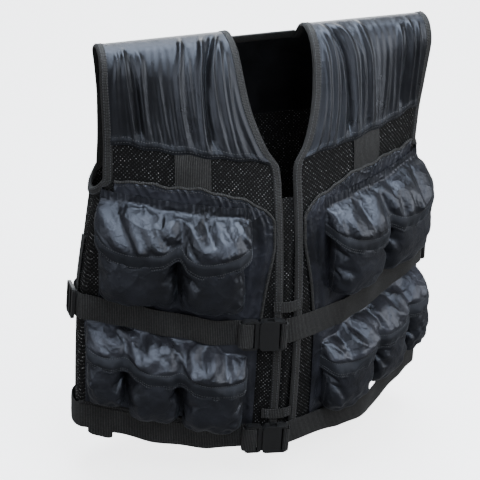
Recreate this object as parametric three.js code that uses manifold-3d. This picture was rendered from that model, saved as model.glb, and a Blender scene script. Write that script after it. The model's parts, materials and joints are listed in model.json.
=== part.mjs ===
// Weighted vest, worn form. Millimetres, +Z up, the front faces -Y, +X is the wearer's left.
// The origin is the middle of the shoulder ridge, where the vest hangs from the shoulders.
import * as THREE from 'three';
import { mergeVertices } from 'three/addons/utils/BufferGeometryUtils.js';
import Module from 'manifold-3d';

const wasm = await Module();
wasm.setup();

// Torso form
const BODY_LENGTH = 560;
const HALF_WIDTH = 245;
const FRONT_DEPTH = 118;
const BACK_DEPTH = 64;
const BACK_ROUNDNESS = 2.6;
const SIDE_FULLNESS = 0.3;

// Walls and the clearances between them
const MESH_WALL = 1.5;
const NYLON_WALL = 1.2;
const WEBBING_WALL = 1.6;
const BINDING_WALL = 3.7;
const LAYER_GAP = 0.5;
const SEAM_GAP = 0.5;
const CURVED_SEAM_GAP = 0.9;
const NECK_SEAM_GAP = 2.8;
const PANEL_GAP = 0.9;

// Edges of the shell
const NECK_HALF_WIDTH = 50;
const FRONT_GAP_HALF = 8;
const NECK_BINDING_WIDTH = 12;
const ARM_BINDING_WIDTH = 11;
const ARMHOLE_SCOOP = 18;
const SEAM_LAP = 12;

// Webbing
const BELT_WIDTH = 35;
const BELT_STAND = 10;
const CHEST_TAB_WIDTH = 42;
const CHEST_TAB_INSET = 98;
const FRONT_TAB_WIDTH = 14;
const FRONT_TAB_LENGTH = 38;
const SIDE_TAPE_WIDTH = 11;
const STRAP_TAIL_LAP = 6;
const STRAP_TAIL_LENGTH = 11;

// Pockets and flaps
const POCKET_HEIGHT = 38;
const POCKET_SAG = 0.2;
const POCKET_SEAM = 1.5;
const UPPER_POCKET_MARGIN = 14;
const LOWER_POCKET_MARGIN = 23;
const FLAP_CLEARANCE = 1.8;
const FLAP_END_HEIGHT = 10;
const FLAP_RISE = 29;
const FLAP_ROOT_LIFT = 0.5;
const ROOT_DIP_END = 0.38;
const ROOT_DIP_WIDTH = 0.07;
const LOWER_ROOT_LAP = 9;
const PIPING_HEIGHT = 2.4;
const PIPING_WIDTH = 4;
const CORD_FADE = 20;
const PANEL_INSET = 20;
const GATHER_HEIGHT = 1;
const GATHER_LENGTH = 18;
const GATHER_PITCH = 17;
const PUCKER_HEIGHT = 4.6;

// Buckles and sliders
const BUCKLE_LENGTH = 58;
const BUCKLE_HEIGHT = 41;
const BUCKLE_THICKNESS = 12;
const SOCKET_LENGTH = 34;
const BUCKLE_BACK = 6.4;
const STRAP_TUCK = 15;
const BUCKLE_SLOT = 5;
const BUCKLE_BAR = 4;
const BUCKLE_WALL = 2.4;
const BUCKLE_CORNER = 5;
const PLUG_THINNING = 2.4;
const PRONG_LENGTH = 20;
const PRONG_WIDTH = 6;
const TONGUE_WIDTH = 9;
const LATCH_WINDOW = 11;
const SLIDER_LENGTH = 30;
const SLIDER_THICKNESS = 4;
const SLIDER_BAR = 4.5;
const CORNER_STEPS = 2;
const MID_BUCKLE_OFFSET = 34;
const LOWER_BUCKLE_OFFSET = 24;
const MID_TAB_OFFSET = 1.5;
const LOWER_TAB_OFFSET = 11;

// Levels on the body below the shoulder ridge, as shares of BODY_LENGTH.
const LEVELS = {
  backSeam: 0.0429,
  backYoke: 0.2679,
  armhole: 0.2946,
  sideTapeTop: 0.4464,
  midTab: 0.5911,
  cordEnd: 0.6036,
  midBelt: 0.6536,
  lowerTab: 0.8714,
  backHem: 0.9321,
  lowerBelt: 0.9339,
};
const BACK_SEAM_DROP = BODY_LENGTH * LEVELS.backSeam;
const BACK_YOKE_DROP = BODY_LENGTH * LEVELS.backYoke;
const ARMHOLE_DROP = BODY_LENGTH * LEVELS.armhole;
const SIDE_TAPE_TOP = BODY_LENGTH * LEVELS.sideTapeTop;
const CORD_END_DROP = BODY_LENGTH * LEVELS.cordEnd;
const MID_BELT_DROP = BODY_LENGTH * LEVELS.midBelt;
const BACK_HEM_DROP = BODY_LENGTH * LEVELS.backHem;
const LOWER_BELT_DROP = BODY_LENGTH * LEVELS.lowerBelt;

const RIGHT = -1;
const LEFT = 1;

// Level sections of the torso form from the shoulder ridge down. Drops are shares of BODY_LENGTH,
// half widths of HALF_WIDTH, back half widths of the front's, front depths of FRONT_DEPTH and
// back depths of BACK_DEPTH.
const SECTIONS = [
  {
    drop: 0, half: 0.914, backHalf: 1, frontCentre: 0,
    frontEdge: 0, backCentre: 0, backEdge: 0, power: 2.4,
  },
  {
    drop: 0.006, half: 0.918, backHalf: 0.998, frontCentre: 0.1,
    frontEdge: 0.09, backCentre: 0.17, backEdge: 0.12, power: 2.4,
  },
  {
    drop: 0.022, half: 0.92, backHalf: 0.99, frontCentre: 0.2,
    frontEdge: 0.15, backCentre: 0.3, backEdge: 0.17, power: 2.4,
  },
  {
    drop: 0.054, half: 0.922, backHalf: 0.975, frontCentre: 0.3,
    frontEdge: 0.185, backCentre: 0.5, backEdge: 0.2, power: 2.4,
  },
  {
    drop: 0.143, half: 0.906, backHalf: 0.96, frontCentre: 0.475,
    frontEdge: 0.17, backCentre: 0.76, backEdge: 0.36, power: 2.4,
  },
  {
    drop: 0.232, half: 0.894, backHalf: 0.96, frontCentre: 0.625,
    frontEdge: 0.145, backCentre: 0.89, backEdge: 0.46, power: 2.4,
  },
  {
    drop: 0.304, half: 0.894, backHalf: 0.965, frontCentre: 0.71,
    frontEdge: 0.135, backCentre: 0.94, backEdge: 0.47, power: 2.2,
  },
  {
    drop: 0.411, half: 0.922, backHalf: 0.97, frontCentre: 0.83,
    frontEdge: 0.127, backCentre: 0.98, backEdge: 0.45, power: 1.9,
  },
  {
    drop: 0.607, half: 0.98, backHalf: 0.975, frontCentre: 0.95,
    frontEdge: 0.119, backCentre: 1, backEdge: 0.36, power: 1.4,
  },
  {
    drop: 0.804, half: 0.996, backHalf: 0.975, frontCentre: 1,
    frontEdge: 0.153, backCentre: 1, backEdge: 0.3, power: 1.3,
  },
  {
    drop: 1, half: 1, backHalf: 0.975, frontCentre: 0.99,
    frontEdge: 0.186, backCentre: 1, backEdge: 0.28, power: 1.3,
  },
];

// Outlines on the front. Across is a share of HALF_WIDTH and drop a share of BODY_LENGTH.
const NECKLINE = [
  { drop: 0, across: 1 },
  { drop: 0.07, across: 0.93 },
  { drop: 0.12, across: 0.85 },
  { drop: 0.155, across: 0.75 },
  { drop: 0.19, across: 0.6 },
  { drop: 0.23, across: 0.38 },
  { drop: 0.272, across: 0.04 },
  { drop: 0.3, across: 0 },
];
const YOKE_HEM = [
  { across: 0, drop: 0.278 },
  { across: 0.05, drop: 0.275 },
  { across: 0.4, drop: 0.242 },
  { across: 0.65, drop: 0.228 },
  { across: 0.9, drop: 0.209 },
];
const PANEL_TOP = [
  { across: 0.07, drop: 0.41 },
  { across: 0.085, drop: 0.385 },
  { across: 0.115, drop: 0.368 },
  { across: 0.16, drop: 0.354 },
  { across: 0.24, drop: 0.338 },
  { across: 0.35, drop: 0.321 },
  { across: 0.55, drop: 0.304 },
  { across: 0.9, drop: 0.292 },
];
const PANEL_FRONT = [
  { drop: 0.3, across: 0.065 },
  { drop: 0.42, across: 0.078 },
  { drop: 0.57, across: 0.135 },
  { drop: 0.7, across: 0.16 },
  { drop: 1, across: 0.17 },
];
const FRONT_HEM = [
  { across: 0, drop: 0.944 },
  { across: 0.25, drop: 0.928 },
  { across: 0.53, drop: 0.905 },
  { across: 1, drop: 0.878 },
];

// Belts round the body. Lap 0 is the centre front, 1 to 2 the side and 3 the centre back.
// Rise is a share of BODY_LENGTH above the belt's drop at the centre front, and height is a
// share of BELT_STAND off the body.
const MID_BELT = [
  { lap: 0, rise: 0, height: 0.44 },
  { lap: 0.28, rise: 0.001, height: 0.49 },
  { lap: 0.36, rise: 0.003, height: 0.72 },
  { lap: 0.5, rise: 0.012, height: 0.7 },
  { lap: 0.75, rise: 0.033, height: 0.72 },
  { lap: 1, rise: 0.048, height: 0.76 },
  { lap: 1.5, rise: 0.05, height: 0.6 },
  { lap: 2, rise: 0.048, height: 0.36 },
  { lap: 3, rise: 0.045, height: 0.22 },
];
const LOWER_BELT = [
  { lap: 0, rise: 0, height: 0.44 },
  { lap: 0.2, rise: 0.001, height: 0.49 },
  { lap: 0.4, rise: -0.003, height: 0.56 },
  { lap: 0.65, rise: 0.009, height: 0.56 },
  { lap: 0.85, rise: 0.028, height: 0.56 },
  { lap: 1, rise: 0.04, height: 0.56 },
  { lap: 1.5, rise: 0.042, height: 0.54 },
  { lap: 2, rise: 0.042, height: 0.44 },
  { lap: 3, rise: 0.04, height: 0.44 },
];
const LOWER_BELT_SLACK = { lap: 0.52, width: 0.2, height: 1.5, drop: 0.4 };

// Folds of a shoulder yoke, each a ridge from the hem up to the shoulder. Foot and head are
// shares across the yoke, width is a share of its breadth and height of PUCKER_HEIGHT.
const YOKE_FOLDS = [
  { foot: 0.06, head: 0.03, width: 0.035, height: 0.7 },
  { foot: 0.17, head: 0.06, width: 0.04, height: 1 },
  { foot: 0.29, head: 0.15, width: 0.04, height: 0.8 },
  { foot: 0.4, head: 0.3, width: 0.035, height: 0.9 },
  { foot: 0.52, head: 0.47, width: 0.045, height: 0.5 },
  { foot: 0.63, head: 0.66, width: 0.035, height: 0.8 },
  { foot: 0.75, head: 0.8, width: 0.04, height: 0.7 },
  { foot: 0.86, head: 0.93, width: 0.035, height: 0.9 },
];

// Pockets of one side, from the centre outwards: shares of HALF_WIDTH and of BODY_LENGTH.
const UPPER_POCKETS = [
  { name: 'inner', from: 0.245, to: 0.535, bottom: 0.584 },
  { name: 'outer', from: 0.56, to: 0.9, bottom: 0.57 },
];
const LOWER_POCKETS = [
  { name: 'inner', from: 0.235, to: 0.515, bottom: 0.893 },
  { name: 'middle', from: 0.537, to: 0.772, bottom: 0.872 },
  { name: 'outer', from: 0.794, to: 0.962, bottom: 0.835 },
];

// Root seam of the upper flaps, and the hems of both rows. Across is a share of HALF_WIDTH and
// drop a share of BODY_LENGTH.
const UPPER_FLAP_ROOT = [
  { across: 0.2, drop: 0.373 },
  { across: 0.93, drop: 0.334 },
];
const UPPER_FLAP_HEM = [
  { across: 0.19, drop: 0.425 },
  { across: 0.25, drop: 0.45 },
  { across: 0.34, drop: 0.466 },
  { across: 0.43, drop: 0.474 },
  { across: 0.51, drop: 0.46 },
  { across: 0.55, drop: 0.438 },
  { across: 0.62, drop: 0.452 },
  { across: 0.74, drop: 0.46 },
  { across: 0.84, drop: 0.448 },
  { across: 0.93, drop: 0.4 },
];
const LOWER_FLAP_HEM = [
  { across: 0.12, drop: 0.755 },
  { across: 0.2, drop: 0.776 },
  { across: 0.4, drop: 0.782 },
  { across: 0.53, drop: 0.76 },
  { across: 0.66, drop: 0.758 },
  { across: 0.78, drop: 0.728 },
  { across: 0.9, drop: 0.722 },
  { across: 1.03, drop: 0.69 },
];
const FLAP_VALLEY = { depth: 0.24, width: 0.036 };

const NYLON = { color: 0x15171c, roughness: 0.42, metalness: 0 };
const MESH_CLOTH = { color: 0x0f1012, roughness: 0.85, metalness: 0 };
const WEBBING = { color: 0x1b1c1f, roughness: 0.75, metalness: 0 };
const PLASTIC = { color: 0x232427, roughness: 0.5, metalness: 0 };

function mix(from, to, share) {
  return from + (to - from) * share;
}

function clamp01(value) {
  return Math.min(1, Math.max(0, value));
}

function smooth(value) {
  const share = clamp01(value);
  return share * share * (3 - 2 * share);
}

// Monotone cubic curve through a table's column, so a form never overshoots its rows.
function curve(rows, input, output, flatStart = false) {
  const xs = rows.map((row) => row[input]);
  const ys = rows.map((row) => row[output]);
  const steps = xs.slice(1).map((x, i) => (ys[i + 1] - ys[i]) / (x - xs[i]));
  const slopes = xs.map((x, i) => {
    if (i === 0) {
      return flatStart ? 0 : steps[0];
    }
    if (i === steps.length) {
      return steps[i - 1];
    }
    const product = steps[i - 1] * steps[i];
    return product > 0 ? (2 * product) / (steps[i - 1] + steps[i]) : 0;
  });
  return (value) => {
    const x = Math.min(xs[xs.length - 1], Math.max(xs[0], value));
    let i = 0;
    while (i < steps.length - 1 && x > xs[i + 1]) {
      i += 1;
    }
    const width = xs[i + 1] - xs[i];
    const t = (x - xs[i]) / width;
    const rest = 1 - t;
    return ys[i] * (1 + 2 * t) * rest * rest + slopes[i] * width * t * rest * rest
      + ys[i + 1] * t * t * (3 - 2 * t) - slopes[i + 1] * width * t * t * rest;
  };
}

const numberedSections = SECTIONS.map((section, row) => ({ row, ...section }));
const sectionCurves = {
  drop: curve(numberedSections, 'row', 'drop', true),
  half: curve(numberedSections, 'row', 'half'),
  backHalf: curve(numberedSections, 'row', 'backHalf'),
  frontCentre: curve(numberedSections, 'row', 'frontCentre'),
  frontEdge: curve(numberedSections, 'row', 'frontEdge'),
  backCentre: curve(numberedSections, 'row', 'backCentre'),
  backEdge: curve(numberedSections, 'row', 'backEdge'),
  power: curve(numberedSections, 'row', 'power'),
};

function dropAt(row) {
  return BODY_LENGTH * sectionCurves.drop(row);
}

function halfAt(row) {
  return HALF_WIDTH * sectionCurves.half(row);
}

function backHalfAt(row) {
  return halfAt(row) * sectionCurves.backHalf(row);
}

// The table row, with its fraction, that lies at a drop below the ridge.
function rowAt(drop) {
  let low = 0;
  let high = SECTIONS.length - 1;
  for (let i = 0; i < 30; i += 1) {
    const middle = (low + high) / 2;
    if (dropAt(middle) < drop) {
      low = middle;
    } else {
      high = middle;
    }
  }
  return (low + high) / 2;
}

function outline(table, input, inputSize, output, outputSize) {
  const line = curve(table, input, output);
  return (value) => outputSize * line(value / inputSize);
}

const necklineShare = curve(NECKLINE, 'drop', 'across');
const yokeHemDrop = outline(YOKE_HEM, 'across', HALF_WIDTH, 'drop', BODY_LENGTH);
const panelTopDrop = outline(PANEL_TOP, 'across', HALF_WIDTH, 'drop', BODY_LENGTH);
const panelFrontAcross = outline(PANEL_FRONT, 'drop', BODY_LENGTH, 'across', HALF_WIDTH);
const frontHemDrop = outline(FRONT_HEM, 'across', HALF_WIDTH, 'drop', BODY_LENGTH);
const upperRootDrop = outline(UPPER_FLAP_ROOT, 'across', HALF_WIDTH, 'drop', BODY_LENGTH);
const upperHemDrop = outline(UPPER_FLAP_HEM, 'across', HALF_WIDTH, 'drop', BODY_LENGTH);
const lowerHemDrop = outline(LOWER_FLAP_HEM, 'across', HALF_WIDTH, 'drop', BODY_LENGTH);

// The edge of the neck opening and, below it, of the centre front.
function frontEdgeAcross(drop) {
  return mix(FRONT_GAP_HALF, NECK_HALF_WIDTH, necklineShare(drop / BODY_LENGTH));
}

// A point of the bare torso form. Lap 0 to 1 is the front, 1 to 2 the side, 2 to 3 the back.
function torsoPoint(side, lap, row) {
  if (lap < 0) {
    return torsoPoint(-side, -lap, row);
  }
  if (lap > 3) {
    return torsoPoint(-side, 6 - lap, row);
  }
  const half = halfAt(row);
  const backHalf = backHalfAt(row);
  const frontEdge = FRONT_DEPTH * sectionCurves.frontEdge(row);
  const frontFall = FRONT_DEPTH * sectionCurves.frontCentre(row) - frontEdge;
  const backEdge = BACK_DEPTH * sectionCurves.backEdge(row);
  const backFall = BACK_DEPTH * sectionCurves.backCentre(row) - backEdge;
  const power = sectionCurves.power(row);
  const z = -dropAt(row);
  if (lap <= 1) {
    const y = -frontEdge - frontFall * (1 - lap ** power);
    return new THREE.Vector3(side * lap * half, y, z);
  }
  if (lap >= 2) {
    const share = 3 - lap;
    const y = backEdge + backFall * (1 - share ** BACK_ROUNDNESS);
    return new THREE.Vector3(side * share * backHalf, y, z);
  }
  const reach = SIDE_FULLNESS * (frontEdge + backEdge);
  const frontTurn = new THREE.Vector2(1, (frontFall * power) / half).setLength(reach);
  const backTurn = new THREE.Vector2(-1, (backFall * BACK_ROUNDNESS) / backHalf).setLength(reach);
  const start = new THREE.Vector2(half, -frontEdge);
  const end = new THREE.Vector2(backHalf, backEdge);
  const bend = new THREE.CubicBezierCurve(
    start,
    start.clone().add(frontTurn),
    end.clone().sub(backTurn),
    end,
  );
  const point = bend.getPoint(lap - 1);
  return new THREE.Vector3(side * point.x, point.y, z);
}

// The outward direction of the torso form, taken inside the front, side or back that holds lap.
function torsoNormal(side, lap, row, face) {
  if (lap < 0) {
    return torsoNormal(-side, -lap, row, 0);
  }
  if (lap > 3) {
    return torsoNormal(-side, 6 - lap, row, face === undefined ? face : 5 - face);
  }
  const home = face ?? Math.min(2, Math.floor(lap));
  const lapLow = Math.max(home, lap - 0.004);
  const lapHigh = Math.min(home + 1, lap + 0.004);
  const rowLow = Math.max(0, row - 0.02);
  const along = torsoPoint(side, lapHigh, row).sub(torsoPoint(side, lapLow, row));
  const down = torsoPoint(side, lap, row + 0.02).sub(torsoPoint(side, lap, rowLow));
  return along.cross(down).multiplyScalar(-side).normalize();
}

function raisedPoint(side, spot, height) {
  const row = spot.row ?? rowAt(spot.drop);
  const point = torsoPoint(side, spot.lap, row);
  const normal = torsoNormal(side, spot.lap, row, spot.face);
  point.addScaledVector(normal, height);
  point.z -= (spot.sag ?? 0) * height;
  return point;
}

function lapOf(across, row) {
  return across / halfAt(row);
}

function backLapOf(across, row) {
  return 3 - across / backHalfAt(row);
}

function frontSpot(across, drop, inner, outer, sag = 0) {
  const row = rowAt(drop);
  return { lap: lapOf(across, row), row, inner, outer, sag, face: across < 0 ? undefined : 0 };
}

function signedVolume(points, faces) {
  let volume = 0;
  faces.forEach(([a, b, c]) => {
    volume += points[a].dot(points[b].clone().cross(points[c])) / 6;
  });
  return volume;
}

// Centres a geometry on its own box and hangs it where it was.
function placed(name, finish, geometry) {
  geometry.computeBoundingBox();
  const centre = geometry.boundingBox.getCenter(new THREE.Vector3());
  geometry.translate(-centre.x, -centre.y, -centre.z);
  geometry.computeVertexNormals();
  const mesh = new THREE.Mesh(geometry, new THREE.MeshStandardMaterial(finish));
  mesh.name = name;
  mesh.position.copy(centre);
  return mesh;
}

// A wall between two sheets of points over the torso form. The function gives the place and the
// inner and outer height for the shares u and v. A closed wall joins its last column to its first.
function wall(name, finish, side, columns, rows, spotAt, closed = false) {
  const across = closed ? columns : columns + 1;
  const sheets = { inner: [], outer: [] };
  for (let j = 0; j <= rows; j += 1) {
    for (let i = 0; i < across; i += 1) {
      const spot = spotAt(i / columns, j / rows);
      sheets.inner.push(raisedPoint(side, spot, spot.inner));
      sheets.outer.push(raisedPoint(side, spot, spot.outer));
    }
  }
  const points = [...sheets.inner, ...sheets.outer];
  const lift = sheets.inner.length;
  const index = (i, j) => j * across + (i % across);
  const faces = [];
  const quad = (a, b, c, d) => faces.push([a, b, c], [a, c, d]);
  for (let j = 0; j < rows; j += 1) {
    for (let i = 0; i < columns; i += 1) {
      const corners = [index(i, j), index(i + 1, j), index(i + 1, j + 1), index(i, j + 1)];
      quad(corners[3], corners[2], corners[1], corners[0]);
      quad(...corners.map((corner) => corner + lift));
    }
  }
  for (let i = 0; i < columns; i += 1) {
    quad(index(i, 0), index(i + 1, 0), index(i + 1, 0) + lift, index(i, 0) + lift);
    quad(index(i + 1, rows), index(i, rows), index(i, rows) + lift, index(i + 1, rows) + lift);
  }
  if (!closed) {
    for (let j = 0; j < rows; j += 1) {
      quad(index(0, j + 1), index(0, j), index(0, j) + lift, index(0, j + 1) + lift);
      const edge = index(columns, j);
      const next = index(columns, j + 1);
      quad(edge, next, next + lift, edge + lift);
    }
  }
  if (signedVolume(points, faces) < 0) {
    faces.forEach((face) => face.reverse());
  }
  const geometry = new THREE.BufferGeometry().setFromPoints(points);
  geometry.setIndex(faces.flat());
  return placed(name, finish, geometry);
}

const meshTop = MESH_WALL;
const layerBase = meshTop + LAYER_GAP;
const layerTop = layerBase + NYLON_WALL;
const panelBase = meshTop + PANEL_GAP;
const panelTop = panelBase + NYLON_WALL;
const pocketBase = panelTop + LAYER_GAP;
const bindingBack = (layerTop - BINDING_WALL) / 2;
const bindingFront = bindingBack + BINDING_WALL;

// Puckers run from the gathered hem up to the flat band on the ridge.
function puckerHeight(u, climb) {
  const fade = smooth(climb / 0.12) * smooth((0.82 - climb) / 0.3);
  const sum = YOKE_FOLDS.reduce((total, fold) => {
    const middle = mix(fold.foot, fold.head, climb);
    const offset = (u - middle) / fold.width;
    return total + fold.height * Math.exp(-offset * offset);
  }, 0);
  return PUCKER_HEIGHT * sum * mix(0.35, 1, fade) * smooth((1 - climb) / 0.15);
}

function shoulderYoke(side, prefix) {
  const backRow = rowAt(BACK_SEAM_DROP);
  return wall(`shoulder_yoke_${prefix}`, NYLON, side, 17, 10, (u, v) => {
    const guess = mix(NECK_HALF_WIDTH, HALF_WIDTH, u);
    const hemRow = rowAt(yokeHemDrop(guess));
    const signedRow = mix(-hemRow, backRow, v);
    const row = Math.abs(signedRow);
    const isFront = signedRow < 0;
    const inner = isFront ? frontEdgeAcross(dropAt(row)) : NECK_HALF_WIDTH;
    const from = inner + NECK_BINDING_WIDTH + NECK_SEAM_GAP;
    const edge = isFront ? halfAt(row) : backHalfAt(row);
    const across = mix(from, edge - ARM_BINDING_WIDTH - SEAM_GAP, u);
    const pucker = isFront ? puckerHeight(u, 1 - row / hemRow) : 0;
    return {
      lap: isFront ? lapOf(across, row) : backLapOf(across, row),
      face: isFront ? 0 : 2,
      row,
      inner: layerBase + pucker,
      outer: layerTop + pucker,
    };
  });
}

function backYoke() {
  return wall('back_yoke', NYLON, LEFT, 16, 4, (u, v) => {
    const row = rowAt(mix(BACK_SEAM_DROP + SEAM_GAP, BACK_YOKE_DROP, v));
    const reach = backHalfAt(row) - ARM_BINDING_WIDTH - SEAM_GAP;
    const lap = backLapOf(mix(reach, -reach, u), row);
    return { lap, row, inner: layerBase, outer: layerTop };
  });
}

// The free outer edge of the front and back below the yokes, clear of the armhole binding.
function outerAcross(drop, edge) {
  const corner = smooth((drop - ARMHOLE_DROP - 1.2 * ARM_BINDING_WIDTH) / (2 * ARM_BINDING_WIDTH));
  return edge - CURVED_SEAM_GAP - ARM_BINDING_WIDTH * (1 - corner);
}

function frontMesh(side, prefix) {
  return wall(`front_mesh_${prefix}`, MESH_CLOTH, side, 8, 12, (u, v) => {
    const guess = mix(FRONT_GAP_HALF + NECK_BINDING_WIDTH, HALF_WIDTH, u);
    const top = yokeHemDrop(guess) - SEAM_LAP;
    const bottom = frontHemDrop(guess) - NECK_BINDING_WIDTH - 2 * SEAM_GAP;
    const drop = mix(top, bottom, v);
    const row = rowAt(drop);
    const from = frontEdgeAcross(drop) + NECK_BINDING_WIDTH + CURVED_SEAM_GAP;
    const across = mix(from, outerAcross(drop, halfAt(row)), u);
    return { lap: lapOf(across, row), row, face: 0, inner: 0, outer: meshTop };
  });
}

function sideHemDrop(t) {
  return mix(frontHemDrop(HALF_WIDTH), BACK_HEM_DROP, smooth(t));
}

function armholeFloor(t) {
  return ARMHOLE_DROP + ARMHOLE_SCOOP * (1 - (2 * t - 1) ** 2);
}

// The armhole's breadth from its front edge to its back edge at a drop.
function armholeBreadth(side, drop) {
  const row = rowAt(drop);
  return torsoPoint(side, 1, row).distanceTo(torsoPoint(side, 2, row));
}

function armholeSlope(t) {
  return 4 * ARMHOLE_SCOOP * (1 - 2 * t);
}

// How far down the binding reaches below the floor of the armhole.
function armholeBindingReach(side, t) {
  const slope = armholeSlope(t) / armholeBreadth(side, armholeFloor(t));
  return ARM_BINDING_WIDTH * Math.hypot(1, slope);
}

function sideMesh(side, prefix) {
  return wall(`side_mesh_${prefix}`, MESH_CLOTH, side, 6, 8, (u, v) => {
    const top = armholeFloor(u) + armholeBindingReach(side, u) + 2 * SEAM_GAP;
    const bottom = sideHemDrop(u) - NECK_BINDING_WIDTH - SEAM_GAP;
    const drop = mix(top, bottom, v);
    return { lap: mix(1.008, 1.992, u), drop, face: 1, inner: 0, outer: meshTop };
  });
}

function backMesh() {
  const rowShares = [0, 0.108, 0.17, 0.32, 0.49, 0.66, 0.83, 1];
  const rows = rowShares.length - 1;
  const bottom = BACK_HEM_DROP - NECK_BINDING_WIDTH - SEAM_GAP;
  return wall('back_mesh', MESH_CLOTH, LEFT, 14, rows, (u, v) => {
    const drop = mix(BACK_YOKE_DROP - SEAM_LAP, bottom, rowShares[Math.round(v * rows)]);
    const row = rowAt(drop);
    const reach = outerAcross(drop, backHalfAt(row));
    return { lap: backLapOf(mix(reach, -reach, u), row), row, inner: 0, outer: meshTop };
  });
}

function frontPlacket() {
  return wall('front_placket', MESH_CLOTH, LEFT, 2, 9, (u, v) => {
    const across = mix(-FRONT_GAP_HALF - 7, FRONT_GAP_HALF + 10, u);
    const drop = mix(BODY_LENGTH * 0.34, frontHemDrop(0) - 4, v);
    const outer = bindingBack - LAYER_GAP;
    return frontSpot(across, drop, outer - MESH_WALL, outer);
  });
}

// The tape from the back seam over the shoulder, down the neckline and the centre front, and
// along the hem to the side.
function frontEdgeBinding(side, prefix) {
  const neckSteps = 18;
  const frontSteps = 7;
  const hemSteps = 8;
  const steps = neckSteps + frontSteps + hemSteps;
  const backRow = rowAt(BACK_SEAM_DROP);
  const neckRow = rowAt(BODY_LENGTH * NECKLINE[NECKLINE.length - 1].drop);
  const cornerDrop = frontHemDrop(FRONT_GAP_HALF);
  return wall(`front_edge_binding_${prefix}`, WEBBING, side, steps, 1, (u, v) => {
    const step = Math.round(u * steps);
    const heights = { inner: bindingBack, outer: bindingFront };
    if (step <= neckSteps) {
      const signedRow = mix(backRow, -neckRow, step / neckSteps);
      const row = Math.abs(signedRow);
      const isBack = signedRow > 0;
      const edge = isBack ? NECK_HALF_WIDTH : frontEdgeAcross(dropAt(row));
      const across = edge + v * NECK_BINDING_WIDTH;
      const lap = isBack ? backLapOf(across, row) : lapOf(across, row);
      return { lap, row, face: isBack ? 2 : 0, ...heights };
    }
    if (step < neckSteps + frontSteps) {
      const share = (step - neckSteps) / frontSteps;
      const drop = mix(dropAt(neckRow), cornerDrop, share);
      const across = FRONT_GAP_HALF + v * NECK_BINDING_WIDTH;
      return { ...frontSpot(across, drop, 0, 0), ...heights };
    }
    const share = (step - neckSteps - frontSteps) / hemSteps;
    const mitre = share === 0 ? v * NECK_BINDING_WIDTH : 0;
    const edgeRow = rowAt(frontHemDrop(HALF_WIDTH));
    const across = mix(FRONT_GAP_HALF + mitre, halfAt(edgeRow) - SEAM_GAP, share);
    return { ...frontSpot(across, frontHemDrop(across) - v * NECK_BINDING_WIDTH, 0, 0), ...heights };
  });
}

function backNeckBinding() {
  const reach = NECK_HALF_WIDTH - SEAM_GAP;
  return wall('back_neck_binding', WEBBING, LEFT, 6, 1, (u, v) => {
    const row = rowAt(mix(BACK_SEAM_DROP - NECK_BINDING_WIDTH, BACK_SEAM_DROP, v));
    const lap = backLapOf(mix(reach, -reach, u), row);
    return { lap, row, inner: bindingBack, outer: bindingFront };
  });
}

function backHemBinding() {
  return wall('back_hem_binding', WEBBING, LEFT, 28, 1, (u, v) => {
    const lap = mix(1.006, 4.994, u);
    const t = clamp01(Math.min(lap, 6 - lap) - 1);
    const drop = sideHemDrop(t) - v * NECK_BINDING_WIDTH;
    return { lap, drop, inner: bindingBack, outer: bindingFront };
  });
}

// One closed loop: down the front edge of the armhole, round its floor and up the back edge.
function armholeBinding(side, prefix) {
  const edgeSteps = 9;
  const floorSteps = 8;
  const steps = 2 * edgeSteps + floorSteps;
  const cornerRow = rowAt(ARMHOLE_DROP);
  return wall(`armhole_binding_${prefix}`, WEBBING, side, steps, 1, (u, v) => {
    const step = Math.round(u * steps) % steps;
    const reach = v * ARM_BINDING_WIDTH;
    const heights = { inner: bindingBack, outer: bindingFront };
    if (step < edgeSteps) {
      const row = (cornerRow * step) / edgeSteps;
      return { lap: 1 - lapOf(reach, row), row, face: 0, ...heights };
    }
    if (step > edgeSteps + floorSteps) {
      const row = (cornerRow * (steps - step)) / edgeSteps;
      return { lap: 2 + reach / backHalfAt(row), row, face: 2, ...heights };
    }
    const t = (step - edgeSteps) / floorSteps;
    const breadth = armholeBreadth(side, armholeFloor(t));
    const turn = new THREE.Vector2(-armholeSlope(t), breadth).setLength(reach);
    const row = rowAt(armholeFloor(t) + turn.y);
    const along = t * breadth + turn.x;
    if (along < 0) {
      return { lap: 1 + lapOf(along, row), row, face: 0, ...heights };
    }
    if (along > breadth) {
      return { lap: 2 + (along - breadth) / backHalfAt(row), row, face: 2, ...heights };
    }
    return { lap: 1 + along / breadth, row, face: 1, ...heights };
  }, true);
}

function chestTab(side, prefix) {
  return wall(`chest_tab_${prefix}`, WEBBING, side, 3, 2, (u, v) => {
    const across = CHEST_TAB_INSET + u * CHEST_TAB_WIDTH;
    const top = yokeHemDrop(across) + 2;
    const bottom = panelTopDrop(across) - 4;
    return frontSpot(across, mix(top, bottom, v), layerBase, layerBase + WEBBING_WALL);
  });
}

// The raised cord along the panel's arched top and down its front edge to the mid strap, and the
// gathers below it. Fall is the distance below the top edge, inset the one from the front edge.
function panelRelief(fall, inset, across, drop) {
  const cordFade = smooth((CORD_END_DROP - drop) / CORD_FADE);
  const cord = cordFade * Math.max(0, 1 - Math.min(fall, inset) / PIPING_WIDTH);
  const wave = 0.5 + 0.5 * Math.cos((2 * Math.PI * across) / GATHER_PITCH);
  const fade = smooth(fall / PIPING_WIDTH - 1) * smooth((2 * (GATHER_LENGTH - fall)) / GATHER_LENGTH);
  return PIPING_HEIGHT * cord + GATHER_HEIGHT * wave * fade;
}

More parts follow.
